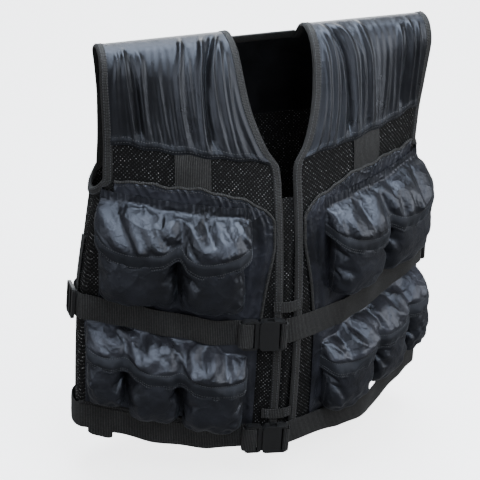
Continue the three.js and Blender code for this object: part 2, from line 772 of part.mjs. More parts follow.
function pocketPanel(side, prefix) {
  const rowShares = [0, 0.012, 0.026, 0.05, 0.11, 0.24, 0.38, 0.52, 0.68, 0.84, 1];
  const columnShares = [0, 0.02, 0.045, 0.1, 0.18, 0.26, 0.34, 0.42, 0.5, 0.6, 0.7, 0.8, 0.9, 1];
  const columns = columnShares.length - 1;
  const rows = rowShares.length - 1;
  return wall(`pocket_panel_${prefix}`, NYLON, side, columns, rows, (i, j) => {
    const u = columnShares[Math.round(i * columns)];
    const v = rowShares[Math.round(j * rows)];
    const guess = mix(PANEL_INSET, HALF_WIDTH - ARM_BINDING_WIDTH * (1 - v), u);
    const top = panelTopDrop(guess);
    const foot = mix(panelFrontAcross(frontHemDrop(0)), HALF_WIDTH, u);
    const bottom = frontHemDrop(foot) - NECK_BINDING_WIDTH - 3 * SEAM_GAP;
    const drop = mix(top, bottom, v);
    const row = rowAt(drop);
    const from = Math.max(
      panelFrontAcross(drop),
      frontEdgeAcross(drop) + NECK_BINDING_WIDTH + CURVED_SEAM_GAP,
    );
    const to = outerAcross(drop, halfAt(row)) - SEAM_GAP;
    const across = mix(from, to, u);
    const relief = panelRelief(drop - top, across - from, across, drop);
    return { lap: lapOf(across, row), row, face: 0, inner: panelBase, outer: panelTop + relief };
  });
}

// Height share of a filled pocket, flat in the middle and steep at its sides.
function pillow(share) {
  return (1 - Math.abs(2 * share - 1) ** 3.2) ** 0.45;
}

function cosineShare(share) {
  return 0.5 - 0.5 * Math.cos(Math.PI * share);
}

function pocket(name, side, shape, rootDropAt, margin) {
  return wall(name, NYLON, side, 6, 6, (i, j) => {
    const u = cosineShare(i);
    const v = cosineShare(j);
    const across = HALF_WIDTH * mix(shape.from, shape.to, u);
    const corner = Math.abs(2 * u - 1) ** 4;
    const bottom = BODY_LENGTH * shape.bottom - 6 * corner;
    const drop = mix(rootDropAt(across) + margin, bottom, v);
    const fill = pillow(u) * pillow(v) * mix(0.86, 1, v);
    const outer = pocketBase + POCKET_SEAM + (POCKET_HEIGHT - POCKET_SEAM) * fill;
    return frontSpot(across, drop, pocketBase, outer, POCKET_SAG);
  });
}

// A flap's inner height: it rises from its root seam over the filled pockets and dips between them.
function flapHeight(across, rise, endShare, valleys) {
  const climb = 1 - (1 - clamp01(rise)) ** 2.2;
  const ends = (1 - Math.abs(2 * endShare - 1) ** 7) ** 0.4;
  const valley = valleys.reduce((depth, middle) => {
    const offset = (across / HALF_WIDTH - middle) / FLAP_VALLEY.width;
    return depth + FLAP_VALLEY.depth * Math.exp(-offset * offset);
  }, 0);
  const full = POCKET_HEIGHT + FLAP_CLEARANCE;
  const height = mix(FLAP_END_HEIGHT, full, ends) * climb * (1 - valley * ends);
  return pocketBase + FLAP_ROOT_LIFT + height;
}

function flap(name, side, columns, pockets, rootDropAt, hemDropAt, reach) {
  const valleys = pockets.slice(1).map((shape, i) => (shape.from + pockets[i].to) / 2);
  const rows = 5;
  return wall(name, NYLON, side, columns, rows, (u, v) => {
    const across = HALF_WIDTH * mix(reach.from, reach.to, u);
    const hem = hemDropAt(across);
    const root = rootDropAt(across);
    const drop = mix(root, hem, v ** 1.25);
    const rise = (drop - root - reach.tuck) / FLAP_RISE;
    const inner = flapHeight(across, rise, u, valleys);
    return frontSpot(across, drop, inner, inner + NYLON_WALL, POCKET_SAG);
  });
}

const midBeltRise = curve(MID_BELT, 'lap', 'rise');
const midBeltHeight = curve(MID_BELT, 'lap', 'height');
const lowerBeltRise = curve(LOWER_BELT, 'lap', 'rise');
const lowerBeltHeight = curve(LOWER_BELT, 'lap', 'height');

function midBelt(side, lap) {
  return {
    drop: MID_BELT_DROP - BODY_LENGTH * midBeltRise(lap),
    height: BELT_STAND * midBeltHeight(lap),
  };
}

// The lower belt hangs a little slack under the wearer's left pockets.
function lowerBelt(side, lap) {
  const offset = (lap - LOWER_BELT_SLACK.lap) / LOWER_BELT_SLACK.width;
  const slack = side === LEFT ? Math.exp(-offset * offset) : 0;
  const taut = lowerBeltHeight(lap);
  const sunk = BELT_STAND * LOWER_BELT_SLACK.drop * slack;
  return {
    drop: LOWER_BELT_DROP - BODY_LENGTH * lowerBeltRise(lap) + sunk,
    height: BELT_STAND * (taut + (LOWER_BELT_SLACK.height - taut) * slack),
  };
}

function belt(name, side, route, fromLap, toLap, columns) {
  return wall(name, WEBBING, side, columns, 1, (u, v) => {
    const lap = mix(fromLap, toLap, u);
    const { drop, height } = route(side, lap > 3 ? 6 - lap : lap);
    const level = drop + (v - 0.5) * BELT_WIDTH;
    return { lap, drop: level, inner: height, outer: height + WEBBING_WALL };
  });
}

// Places of the two buckles: the middle of each, across the centre front.
const BUCKLES = [
  {
    name: 'mid',
    middle: -MID_BUCKLE_OFFSET,
    route: midBelt,
    tabMiddle: -MID_TAB_OFFSET,
    tabLevel: LEVELS.midTab,
  },
  {
    name: 'lower',
    middle: -LOWER_BUCKLE_OFFSET,
    route: lowerBelt,
    tabMiddle: -LOWER_TAB_OFFSET,
    tabLevel: LEVELS.lowerTab,
  },
];
const SLIDER_LAP = 1.42;

function beltParts(spec) {
  const { name, middle, route } = spec;
  const row = rowAt(route(LEFT, 0).drop);
  const socketEnd = middle + BUCKLE_LENGTH / 2 - STRAP_TUCK;
  const plugEnd = -middle + BUCKLE_LENGTH / 2 - STRAP_TUCK;
  return [
    belt(`${name}_strap_left`, LEFT, route, lapOf(socketEnd, row), SLIDER_LAP - 0.006, 16),
    belt(`${name}_strap_right`, RIGHT, route, lapOf(plugEnd, row), SLIDER_LAP - 0.006, 14),
    belt(`${name}_strap_back`, LEFT, route, SLIDER_LAP + 0.006, 6 - SLIDER_LAP - 0.006, 26),
  ];
}

function frontTab(spec) {
  return wall(`${spec.name}_front_tab`, WEBBING, LEFT, 4, 1, (u, v) => {
    const across = spec.tabMiddle + (u - 0.5) * FRONT_TAB_LENGTH;
    const drop = BODY_LENGTH * spec.tabLevel + (v - 0.5) * FRONT_TAB_WIDTH;
    const inner = bindingFront + LAYER_GAP;
    return frontSpot(across, drop, inner, inner + WEBBING_WALL);
  });
}

function sideTape(side, prefix) {
  return wall(`side_tape_${prefix}`, WEBBING, side, 1, 5, (u, v) => {
    const { drop } = midBelt(side, SLIDER_LAP);
    const level = mix(SIDE_TAPE_TOP, drop + BELT_WIDTH / 2, v);
    const lap = SLIDER_LAP + ((u - 0.5) * SIDE_TAPE_WIDTH) / armholeBreadth(side, level);
    const inner = layerBase + LAYER_GAP;
    return { lap, drop: level, face: 1, inner, outer: inner + NYLON_WALL };
  });
}

function lowerStrapTail() {
  return wall('lower_strap_tail', WEBBING, RIGHT, 2, 3, (u, v) => {
    const lap = mix(0.86, 0.98, u);
    const { drop, height } = lowerBelt(RIGHT, lap);
    const level = mix(drop - STRAP_TAIL_LAP, drop + BELT_WIDTH / 2 + STRAP_TAIL_LENGTH, v);
    const outer = height - LAYER_GAP;
    return { lap, drop: level, face: 0, inner: outer - WEBBING_WALL, outer };
  });
}

// A local frame on the body: x runs along the belt to the wearer's left, y points inwards.
function bodyFrame(side, lap, drop, height) {
  const row = rowAt(drop);
  const spot = { lap, row };
  const ahead = raisedPoint(side, { lap: lap + 0.02, row }, height);
  const behind = raisedPoint(side, { lap: lap - 0.02, row }, height);
  const xAxis = ahead.sub(behind).multiplyScalar(side).normalize();
  const inward = torsoNormal(side, lap, row).negate();
  const zAxis = new THREE.Vector3().crossVectors(xAxis, inward).normalize();
  const yAxis = new THREE.Vector3().crossVectors(zAxis, xAxis);
  const turn = new THREE.Matrix4().makeBasis(xAxis, yAxis, zAxis);
  return { position: raisedPoint(side, spot, height), turn };
}

// A rectangle with round corners, drawn anticlockwise.
function roundedOutline(width, height, radius) {
  const points = [];
  for (let corner = 0; corner < 4; corner += 1) {
    const isRight = corner === 0 || corner === 3;
    const x = (isRight ? 1 : -1) * (width / 2 - radius);
    const y = (corner < 2 ? 1 : -1) * (height / 2 - radius);
    for (let k = 0; k <= CORNER_STEPS; k += 1) {
      const angle = (Math.PI / 2) * (corner + k / CORNER_STEPS);
      points.push(new THREE.Vector2(x + radius * Math.cos(angle), y + radius * Math.sin(angle)));
    }
  }
  return new THREE.Shape(points);
}

function solidOf(geometry) {
  geometry.deleteAttribute('normal');
  geometry.deleteAttribute('uv');
  const merged = mergeVertices(geometry, 1e-4);
  return new wasm.Manifold(new wasm.Mesh({
    numProp: 3,
    vertProperties: merged.attributes.position.array,
    triVerts: new Uint32Array(merged.index.array),
  }));
}

// A round-cornered plate in the belt's plane, x along the belt and y its thickness inwards.
function plate(length, height, thickness, radius) {
  const geometry = new THREE.ExtrudeGeometry(roundedOutline(length, height, radius), {
    depth: thickness,
    bevelEnabled: false,
  });
  geometry.rotateX(Math.PI / 2);
  return solidOf(geometry);
}

// A block from the corner low to the corner high.
function block(low, high) {
  const size = high.map((value, i) => value - low[i]);
  const geometry = new THREE.BoxGeometry(...size);
  geometry.translate(...low.map((value, i) => value + size[i] / 2));
  return solidOf(geometry);
}

// Turns a solid from the belt's frame into the vest's, its back on the frame's origin plane.
function mounted(name, solid, frame) {
  const { vertProperties, triVerts } = solid.getMesh();
  const geometry = new THREE.BufferGeometry();
  geometry.setAttribute('position', new THREE.BufferAttribute(vertProperties, 3));
  geometry.setIndex(new THREE.BufferAttribute(triVerts, 1));
  geometry.applyMatrix4(frame.turn);
  geometry.translate(frame.position.x, frame.position.y, frame.position.z);
  return placed(name, PLASTIC, geometry);
}

// A hole through a plate: its middle along the belt, its width and its height.
function slotBlock(middle, width, height, thickness) {
  return block([middle - width / 2, -thickness - 1, -height / 2],
    [middle + width / 2, 1, height / 2]);
}

const plugLength = BUCKLE_LENGTH - SOCKET_LENGTH - SEAM_GAP;
const cavityHeight = BUCKLE_HEIGHT - 2 * BUCKLE_WALL;
const slotHeight = BELT_WIDTH + 1;

// The socket is open towards the plug, with a window at the top and bottom for the latches.
function socketSolid() {
  const reach = SOCKET_LENGTH / 2;
  const back = -BUCKLE_WALL;
  const front = BUCKLE_WALL - BUCKLE_THICKNESS;
  const cavityEnd = PRONG_LENGTH + 1 - reach;
  const shell = plate(SOCKET_LENGTH, BUCKLE_HEIGHT, BUCKLE_THICKNESS, BUCKLE_CORNER);
  const cavity = block([-reach - 1, front, -cavityHeight / 2], [cavityEnd, back, cavityHeight / 2]);
  const windows = block([cavityEnd - LATCH_WINDOW, front, -BUCKLE_HEIGHT],
    [cavityEnd - 2, back, BUCKLE_HEIGHT]);
  const webSlot = slotBlock(reach - BUCKLE_BAR - BUCKLE_SLOT / 2, BUCKLE_SLOT, slotHeight,
    BUCKLE_THICKNESS);
  return shell.subtract(cavity).subtract(windows).subtract(webSlot);
}

// The plug carries the ladder of two slots, and its prongs and tongue reach into the socket.
function plugSolid() {
  const reach = plugLength / 2;
  const thickness = BUCKLE_THICKNESS - PLUG_THINNING;
  const back = -BUCKLE_WALL - SEAM_GAP;
  const front = BUCKLE_WALL + SEAM_GAP - BUCKLE_THICKNESS;
  const prongEnd = reach + SEAM_GAP + PRONG_LENGTH;
  const prongOuter = cavityHeight / 2 - SEAM_GAP;
  const prongInner = prongOuter - PRONG_WIDTH;
  let plug = plate(plugLength, BUCKLE_HEIGHT, thickness, BUCKLE_CORNER);
  [0, 1].forEach((rung) => {
    const middle = -reach + BUCKLE_BAR + BUCKLE_SLOT / 2 + rung * (BUCKLE_SLOT + BUCKLE_BAR);
    plug = plug.subtract(slotBlock(middle, BUCKLE_SLOT, slotHeight, thickness));
  });
  [[-prongOuter, -prongInner], [prongInner, prongOuter]].forEach(([low, high]) => {
    plug = plug.add(block([reach - 2, front, low], [prongEnd, back, high]));
  });
  const tongue = block([reach - 2, front + 1, -TONGUE_WIDTH / 2],
    [prongEnd - 2, back - 1, TONGUE_WIDTH / 2]);
  return plug.add(tongue);
}

function buckleParts(spec) {
  const { name, middle, route } = spec;
  const { drop } = route(LEFT, 0);
  const frame = bodyFrame(LEFT, lapOf(middle, rowAt(drop)), drop, BUCKLE_BACK);
  const shifted = (along) => ({
    position: new THREE.Vector3(along, 0, 0).applyMatrix4(frame.turn).add(frame.position),
    turn: frame.turn,
  });
  const socketShift = (BUCKLE_LENGTH - SOCKET_LENGTH) / 2;
  const plugShift = (plugLength - BUCKLE_LENGTH) / 2;
  return [
    mounted(`${name}_buckle_socket`, socketSolid(), shifted(socketShift)),
    mounted(`${name}_buckle_plug`, plugSolid(), shifted(plugShift)),
  ];
}

function sideSlider(side, prefix) {
  const { drop, height } = midBelt(side, SLIDER_LAP);
  const frame = bodyFrame(side, SLIDER_LAP, drop, height + WEBBING_WALL + LAYER_GAP);
  const slotWidth = (SLIDER_LENGTH - 3 * SLIDER_BAR) / 2;
  const slotMiddle = (SLIDER_BAR + slotWidth) / 2;
  let slider = plate(SLIDER_LENGTH, BELT_WIDTH + 2 * SLIDER_BAR, SLIDER_THICKNESS, SLIDER_BAR);
  [-slotMiddle, slotMiddle].forEach((slot) => {
    slider = slider.subtract(slotBlock(slot, slotWidth, BELT_WIDTH, SLIDER_THICKNESS));
  });
  return mounted(`side_slider_${prefix}`, slider, frame);
}

// The lower flap's root lies behind the mid strap, and dips below the buckle at the centre.
function lowerRootDrop(across) {
  const lap = across / HALF_WIDTH;
  const dip = (BUCKLE_HEIGHT - BELT_WIDTH) / 2 + LOWER_ROOT_LAP + SEAM_GAP;
  const share = smooth((ROOT_DIP_END - lap) / ROOT_DIP_WIDTH);
  return midBelt(LEFT, lap).drop + BELT_WIDTH / 2 - LOWER_ROOT_LAP + dip * share;
}

function pocketRows(side, prefix) {
  const group = new THREE.Group();
  UPPER_POCKETS.forEach((shape) => {
    const name = `upper_pocket_${shape.name}_${prefix}`;
    group.add(pocket(name, side, shape, upperRootDrop, UPPER_POCKET_MARGIN));
  });
  LOWER_POCKETS.forEach((shape) => {
    const name = `lower_pocket_${shape.name}_${prefix}`;
    group.add(pocket(name, side, shape, lowerRootDrop, LOWER_POCKET_MARGIN));
  });
  group.add(flap(`upper_flap_${prefix}`, side, 16, UPPER_POCKETS, upperRootDrop, upperHemDrop,
    { from: 0.21, to: 0.9, tuck: 0 }));
  group.add(flap(`lower_flap_${prefix}`, side, 20, LOWER_POCKETS, lowerRootDrop, lowerHemDrop,
    { from: 0.2, to: 0.985, tuck: LOWER_ROOT_LAP + 1 }));
  return group;
}

function frontSide(side, prefix) {
  const group = new THREE.Group();
  group.add(shoulderYoke(side, prefix));
  group.add(frontMesh(side, prefix));
  group.add(sideMesh(side, prefix));
  group.add(armholeBinding(side, prefix));
  group.add(frontEdgeBinding(side, prefix));
  group.add(chestTab(side, prefix));
  group.add(pocketPanel(side, prefix));
  group.add(pocketRows(side, prefix));
  group.add(sideTape(side, prefix));
  group.add(sideSlider(side, prefix));
  return group;
}

function backSide() {
  const group = new THREE.Group();
  group.add(backYoke(), backMesh(), backNeckBinding(), backHemBinding());
  return group;
}

function closures() {
  const group = new THREE.Group();
  group.add(frontPlacket(), lowerStrapTail());
  BUCKLES.forEach((spec) => {
    group.add(...beltParts(spec), ...buckleParts(spec), frontTab(spec));
  });
  return group;
}

const vest = new THREE.Group();
vest.add(frontSide(RIGHT, 'right'), frontSide(LEFT, 'left'), backSide(), closures());

export default vest;
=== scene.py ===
"""Looks of the weighted vest, in metres, in the frame of its solids.

The front faces -Y, +Z is up and +X is the wearer's left. Places on the cloth are given as the
torso form gives them: lap runs round the body, 0 to 1 over the front, 1 to 2 over the side and
2 to 3 over the back, drop is the depth below the shoulder ridge, and height is the distance out
from the bare form.
"""
from __future__ import annotations

import json
import logging
import math
from dataclasses import dataclass
from enum import Enum
from typing import Callable, Sequence

import bpy
import numpy as np
from mathutils import Matrix, Vector

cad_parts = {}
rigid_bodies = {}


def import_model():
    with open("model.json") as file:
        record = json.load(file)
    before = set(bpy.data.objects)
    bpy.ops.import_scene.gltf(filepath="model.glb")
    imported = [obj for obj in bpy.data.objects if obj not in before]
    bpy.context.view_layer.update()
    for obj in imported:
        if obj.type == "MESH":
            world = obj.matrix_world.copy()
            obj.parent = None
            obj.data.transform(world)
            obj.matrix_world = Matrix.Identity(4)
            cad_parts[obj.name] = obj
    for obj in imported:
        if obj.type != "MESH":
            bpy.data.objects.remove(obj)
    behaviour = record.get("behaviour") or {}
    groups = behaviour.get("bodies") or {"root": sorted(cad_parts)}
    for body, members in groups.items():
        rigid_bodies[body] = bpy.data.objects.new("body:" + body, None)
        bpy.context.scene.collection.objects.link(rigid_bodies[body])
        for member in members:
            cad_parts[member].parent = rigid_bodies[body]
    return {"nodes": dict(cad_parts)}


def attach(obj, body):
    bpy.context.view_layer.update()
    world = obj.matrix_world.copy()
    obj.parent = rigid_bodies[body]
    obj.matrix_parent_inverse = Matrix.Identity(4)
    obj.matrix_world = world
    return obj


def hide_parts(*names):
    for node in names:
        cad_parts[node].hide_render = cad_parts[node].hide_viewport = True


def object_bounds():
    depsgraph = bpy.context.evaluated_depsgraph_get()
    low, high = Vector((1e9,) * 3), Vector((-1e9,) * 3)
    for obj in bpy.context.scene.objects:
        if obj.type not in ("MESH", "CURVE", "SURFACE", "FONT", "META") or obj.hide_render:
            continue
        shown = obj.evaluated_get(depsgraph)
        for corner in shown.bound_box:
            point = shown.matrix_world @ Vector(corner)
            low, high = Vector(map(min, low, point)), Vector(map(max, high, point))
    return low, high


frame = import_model()
CAD_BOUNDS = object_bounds()
LOG = logging.getLogger("vest")
MM = 0.001
TURN = 2.0 * math.pi
Numbers = float | np.ndarray
Triple = tuple[float, float, float]


class Side(Enum):
    """The wearer's sides, as the sign of X."""

    RIGHT = -1
    LEFT = 1

    @property
    def word(self) -> str:
        """The side's name as the nodes spell it."""
        return self.name.lower()


class Slot(Enum):
    """Material slots of the record."""

    NYLON = "nylon"
    AIR_MESH = "air_mesh"
    WEBBING = "webbing"
    TAPE = "tape"
    PLASTIC = "plastic"


@dataclass(frozen=True)
class Section:
    """One level section of the torso, in shares of the driving sizes."""

    drop: float
    half: float
    back_half: float
    front_centre: float
    front_edge: float
    back_centre: float
    back_edge: float
    power: float


@dataclass(frozen=True)
class Sizes:
    """Driving sizes of the vest, in metres."""

    body_length: float = 0.560
    half_width: float = 0.245
    front_depth: float = 0.118
    back_depth: float = 0.064
    back_roundness: float = 2.6
    side_fullness: float = 0.3
    neck_half_width: float = 0.050
    front_gap_half: float = 0.008
    neck_binding: float = 0.012
    arm_binding: float = 0.011
    back_seam_drop: float = 0.024
    back_yoke_drop: float = 0.150
    armhole_drop: float = 0.165
    armhole_scoop: float = 0.018
    back_hem_drop: float = 0.522
    belt_width: float = 0.035
    buckle_length: float = 0.058
    buckle_height: float = 0.041
    mid_belt_drop: float = 0.366
    lower_belt_drop: float = 0.523


@dataclass(frozen=True)
class Layers:
    """Heights of the cloth layers over the bare form, in metres."""

    mesh_top: float = 0.0015
    base: float = 0.0020
    top: float = 0.0032
    panel_base: float = 0.0024
    panel_top: float = 0.0036
    pocket_base: float = 0.0041
    binding_back: float = -0.00025
    binding_front: float = 0.00345


SIZES = Sizes()
LAYERS = Layers()

SECTIONS = (
    Section(0, 0.914, 1, 0, 0, 0, 0, 2.4),
    Section(0.006, 0.918, 0.998, 0.1, 0.09, 0.17, 0.12, 2.4),
    Section(0.022, 0.92, 0.99, 0.2, 0.15, 0.3, 0.17, 2.4),
    Section(0.054, 0.922, 0.975, 0.3, 0.185, 0.5, 0.2, 2.4),
    Section(0.143, 0.906, 0.96, 0.475, 0.17, 0.76, 0.36, 2.4),
    Section(0.232, 0.894, 0.96, 0.625, 0.145, 0.89, 0.46, 2.4),
    Section(0.304, 0.894, 0.965, 0.71, 0.135, 0.94, 0.47, 2.2),
    Section(0.411, 0.922, 0.97, 0.83, 0.127, 0.98, 0.45, 1.9),
    Section(0.607, 0.98, 0.975, 0.95, 0.119, 1, 0.36, 1.4),
    Section(0.804, 0.996, 0.975, 1, 0.153, 1, 0.3, 1.3),
    Section(1, 1, 0.975, 0.99, 0.186, 1, 0.28, 1.3),
)


def mix(start: Numbers, end: Numbers, share: Numbers) -> Numbers:
    """Blend of two numbers or arrays by a share."""
    return start + (end - start) * share


def smooth(value: Numbers) -> np.ndarray:
    """Smooth step from 0 to 1."""
    share = np.clip(value, 0.0, 1.0)
    return share * share * (3.0 - 2.0 * share)


def unit(vectors: np.ndarray) -> np.ndarray:
    """Vectors along the last axis, made 1 long."""
    return vectors / np.maximum(np.linalg.norm(vectors, axis=-1, keepdims=True), 1e-12)


def lengths(line: np.ndarray) -> np.ndarray:
    """Length from the start of a line to each of its points."""
    return np.concatenate([[0], np.cumsum(np.linalg.norm(np.diff(line, axis=0), axis=-1))])


def at_lengths(spots: Numbers, run: np.ndarray, line: np.ndarray) -> np.ndarray:
    """Values of a line's rows at given lengths along it, where run is the rows' own lengths."""
    return np.stack([np.interp(spots, run, line[:, k]) for k in range(3)], axis=-1)


class Curve:
    """Monotone cubic curve through points, so a form never overshoots them."""

    def __init__(self, xs: Sequence[float], ys: Sequence[float], flat_start: bool = False) -> None:
        """Works out the slopes.

        Args:
            xs: rising inputs.
            ys: outputs.
            flat_start: whether the curve starts level.
        """
        self.xs = np.asarray(xs, float)
        self.ys = np.asarray(ys, float)
        steps = np.diff(self.ys) / np.diff(self.xs)
        product = steps[:-1] * steps[1:]
        total = np.where(product > 0, steps[:-1] + steps[1:], 1.0)
        inner = np.where(product > 0, 2.0 * product / total, 0.0)
        first = 0.0 if flat_start else steps[0]
        self.slopes = np.concatenate([[first], inner, [steps[-1]]])

    def __call__(self, value: Numbers) -> np.ndarray:
        """Value of the curve, held level past its ends.

        Args:
            value: inputs.

        Returns:
            The outputs.
        """
        x = np.clip(np.asarray(value, float), self.xs[0], self.xs[-1])
        i = np.clip(np.searchsorted(self.xs, x, side="right") - 1, 0, len(self.xs) - 2)
        width = self.xs[i + 1] - self.xs[i]
        t = (x - self.xs[i]) / width
        rest = 1.0 - t
        return (
            self.ys[i] * (1 + 2 * t) * rest * rest
            + self.slopes[i] * width * t * rest * rest
            + self.ys[i + 1] * t * t * (3 - 2 * t)
            - self.slopes[i + 1] * width * t * t * rest
        )


def outline(points: Sequence[tuple[float, float]], width: float, length: float) -> Curve:
    """Curve through (input share, output share) rows, scaled to real sizes.

    Args:
        points: rows of shares.
        width: size of the input.
        length: size of the output.

    Returns:
        The curve in metres.
    """
    table = np.asarray(points, float)
    return Curve(table[:, 0] * width, table[:, 1] * length)


class Torso:
    """The bare form that every cloth piece lies on."""

    def __init__(self) -> None:
        """Makes the curves of the sections."""
        rows = np.arange(len(SECTIONS))
        names = ("half", "back_half", "front_centre", "front_edge", "back_centre", "back_edge",
                 "power")
        self.curves = {n: Curve(rows, [getattr(s, n) for s in SECTIONS]) for n in names}
        self.drop = Curve(rows, [s.drop * SIZES.body_length for s in SECTIONS], flat_start=True)
        self.fine_rows = np.linspace(0, len(SECTIONS) - 1, 6001)
        self.fine_drops = self.drop(self.fine_rows)

    def row_at(self, drop: Numbers) -> np.ndarray:
        """Section row, with its fraction, at a drop."""
        return np.interp(drop, self.fine_drops, self.fine_rows)

    def half(self, drop: Numbers) -> np.ndarray:
        """Half width of the front at a drop."""
        return SIZES.half_width * self.curves["half"](self.row_at(drop))

    def back_half(self, drop: Numbers) -> np.ndarray:
        """Half width of the back at a drop."""
        return self.half(drop) * self.curves["back_half"](self.row_at(drop))

    @staticmethod
    def folded(side: int, lap: Numbers) -> tuple[np.ndarray, np.ndarray]:
        """Brings a lap that passes the centre line back to 0 to 3 and turns its side.

        Args:
            side: sign of X.
            lap: laps.

        Returns:
            Signs of X, and the folded laps.
        """
        lap = np.asarray(lap, float)
        sign = np.where((lap < 0) | (lap > 3), -side, side)
        lap = np.abs(lap)
        return sign, np.where(lap > 3, 6 - lap, lap)

    def bare(self, sign: Numbers, lap: Numbers, row: Numbers) -> np.ndarray:
        """Points of the bare form for folded laps.

        Args:
            sign: signs of X.
            lap: folded laps.
            row: section rows.

        Returns:
            Points, with X, Y and Z last.
        """
        value = {name: curve(row) for name, curve in self.curves.items()}
        half = SIZES.half_width * value["half"]
        back_half = half * value["back_half"]
        front_edge = SIZES.front_depth * value["front_edge"]
        front_fall = SIZES.front_depth * value["front_centre"] - front_edge
        back_edge = SIZES.back_depth * value["back_edge"]
        back_fall = SIZES.back_depth * value["back_centre"] - back_edge
        share = np.clip(3 - lap, 0, 3)
        front_x, front_y = lap * half, -front_edge - front_fall * (1 - lap ** value["power"])
        back_x = share * back_half
        back_y = back_edge + back_fall * (1 - share ** SIZES.back_roundness)
        reach = SIZES.side_fullness * (front_edge + back_edge)
        front_slope = front_fall * value["power"] / half
        back_slope = back_fall * SIZES.back_roundness / back_half
        t = np.clip(lap - 1, 0, 1)
        rest = 1 - t
        weights = (rest ** 3, 3 * rest ** 2 * t, 3 * rest * t ** 2, t ** 3)
        front_turn = reach / np.hypot(1, front_slope)
        back_turn = reach / np.hypot(1, back_slope)
        side_x = (weights[0] * half + weights[1] * (half + front_turn)
                  + weights[2] * (back_half + back_turn) + weights[3] * back_half)
        side_y = (-weights[0] * front_edge + weights[1] * (front_turn * front_slope - front_edge)
                  + weights[2] * (back_edge - back_turn * back_slope) + weights[3] * back_edge)
        x = np.where(lap <= 1, front_x, np.where(lap >= 2, back_x, side_x))
        y = np.where(lap <= 1, front_y, np.where(lap >= 2, back_y, side_y))
        return np.stack(np.broadcast_arrays(sign * x, y, -self.drop(row)), axis=-1)

    def normal(self, side: int, lap: Numbers, drop: Numbers,
               face: int | None = None) -> np.ndarray:
        """Outward directions of the form.

        Args:
            side: sign of X.
            lap: laps.
            drop: drops.
            face: 0 front, 1 side or 2 back, or None to take it from the lap.

        Returns:
            Unit vectors.
        """
        sign, lap = self.folded(side, lap)
        row = self.row_at(drop)
        home = np.minimum(2, np.floor(lap)) if face is None else np.full(lap.shape, float(face))
        low, high = np.maximum(home, lap - 0.004), np.minimum(home + 1, lap + 0.004)
        along = self.bare(sign, high, row) - self.bare(sign, low, row)
        down = self.bare(sign, lap, row + 0.02) - self.bare(sign, lap, np.maximum(0, row - 0.02))
        return unit(np.cross(along, down) * -np.asarray(sign)[..., None])

    def place(self, side: int, lap: Numbers, drop: Numbers, height: Numbers,
              face: int | None = None, sag: float = 0.0) -> np.ndarray:
        """Points at a height over the form.

        Args:
            side: sign of X.
            lap: laps.
            drop: drops below the ridge.
            height: heights over the form.
            face: 0 front, 1 side or 2 back, or None to take it from the lap.
            sag: how far a point sinks for each unit of height.

        Returns:
            Points, with X, Y and Z last.
        """
        lap, drop, height = np.broadcast_arrays(*[np.asarray(v, float) for v in (lap, drop, height)])
        sign, folded = self.folded(side, lap)
        points = self.bare(sign, folded, self.row_at(drop))
        points = points + self.normal(side, lap, drop, face) * height[..., None]
        points[..., 2] -= sag * height
        return points

    def front(self, side: int, across: Numbers, drop: Numbers, height: Numbers,
              sag: float = 0.0) -> np.ndarray:
        """Points over the front, at a distance across from the centre line."""
        lap = np.minimum(np.asarray(across, float) / self.half(drop), 1.0)
        return self.place(side, lap, drop, height, 0 if np.min(lap) >= 0 else None, sag)

    def back(self, side: int, across: Numbers, drop: Numbers, height: Numbers) -> np.ndarray:
        """Points over the back, at a distance across from the centre line."""
        return self.place(side, 3 - np.asarray(across, float) / self.back_half(drop), drop, height)


TORSO = Torso()

NECKLINE = Curve((0, 0.07, 0.12, 0.155, 0.19, 0.23, 0.272, 0.3),
                 (1, 0.93, 0.85, 0.75, 0.6, 0.38, 0.04, 0))
WIDTH, LENGTH = SIZES.half_width, SIZES.body_length
YOKE_HEM = outline(((0, 0.278), (0.05, 0.275), (0.4, 0.242), (0.65, 0.228), (0.9, 0.209)),
                   WIDTH, LENGTH)
PANEL_TOP = outline(((0.07, 0.41), (0.085, 0.385), (0.115, 0.368), (0.16, 0.354), (0.24, 0.338),
                     (0.35, 0.321), (0.55, 0.304), (0.9, 0.292)), WIDTH, LENGTH)
PANEL_FRONT = outline(((0.3, 0.065), (0.42, 0.078), (0.57, 0.135), (0.7, 0.16), (1, 0.17)),
                      LENGTH, WIDTH)
FRONT_HEM = outline(((0, 0.944), (0.25, 0.928), (0.53, 0.905), (1, 0.878)), WIDTH, LENGTH)
UPPER_ROOT = outline(((0.2, 0.373), (0.93, 0.334)), WIDTH, LENGTH)
UPPER_HEM = outline(((0.19, 0.425), (0.25, 0.45), (0.34, 0.466), (0.43, 0.474), (0.51, 0.46),
                     (0.55, 0.438), (0.62, 0.452), (0.74, 0.46), (0.84, 0.448), (0.93, 0.4)),
                    WIDTH, LENGTH)
LOWER_HEM = outline(((0.12, 0.755), (0.2, 0.776), (0.4, 0.782), (0.53, 0.76), (0.66, 0.758),
                     (0.78, 0.728), (0.9, 0.722), (1.03, 0.69)), WIDTH, LENGTH)
MID_RISE = Curve((0, 0.28, 0.36, 0.5, 0.75, 1, 1.5, 2, 3),
                 (0, 0.001, 0.003, 0.012, 0.033, 0.048, 0.05, 0.048, 0.045))
MID_HEIGHT = Curve((0, 0.28, 0.36, 0.5, 0.75, 1, 1.5, 2, 3),
                   (4.4, 4.9, 7.2, 7, 7.2, 7.6, 6, 3.6, 2.2))
LOWER_RISE = Curve((0, 0.2, 0.4, 0.65, 0.85, 1, 1.5, 2, 3),
                   (0, 0.001, -0.003, 0.009, 0.028, 0.04, 0.042, 0.042, 0.04))
LOWER_HEIGHT = Curve((0, 0.2, 0.4, 0.65, 0.85, 1, 1.5, 2, 3),
                     (4.4, 4.9, 5.6, 5.6, 5.6, 5.6, 5.4, 4.4, 4.4))


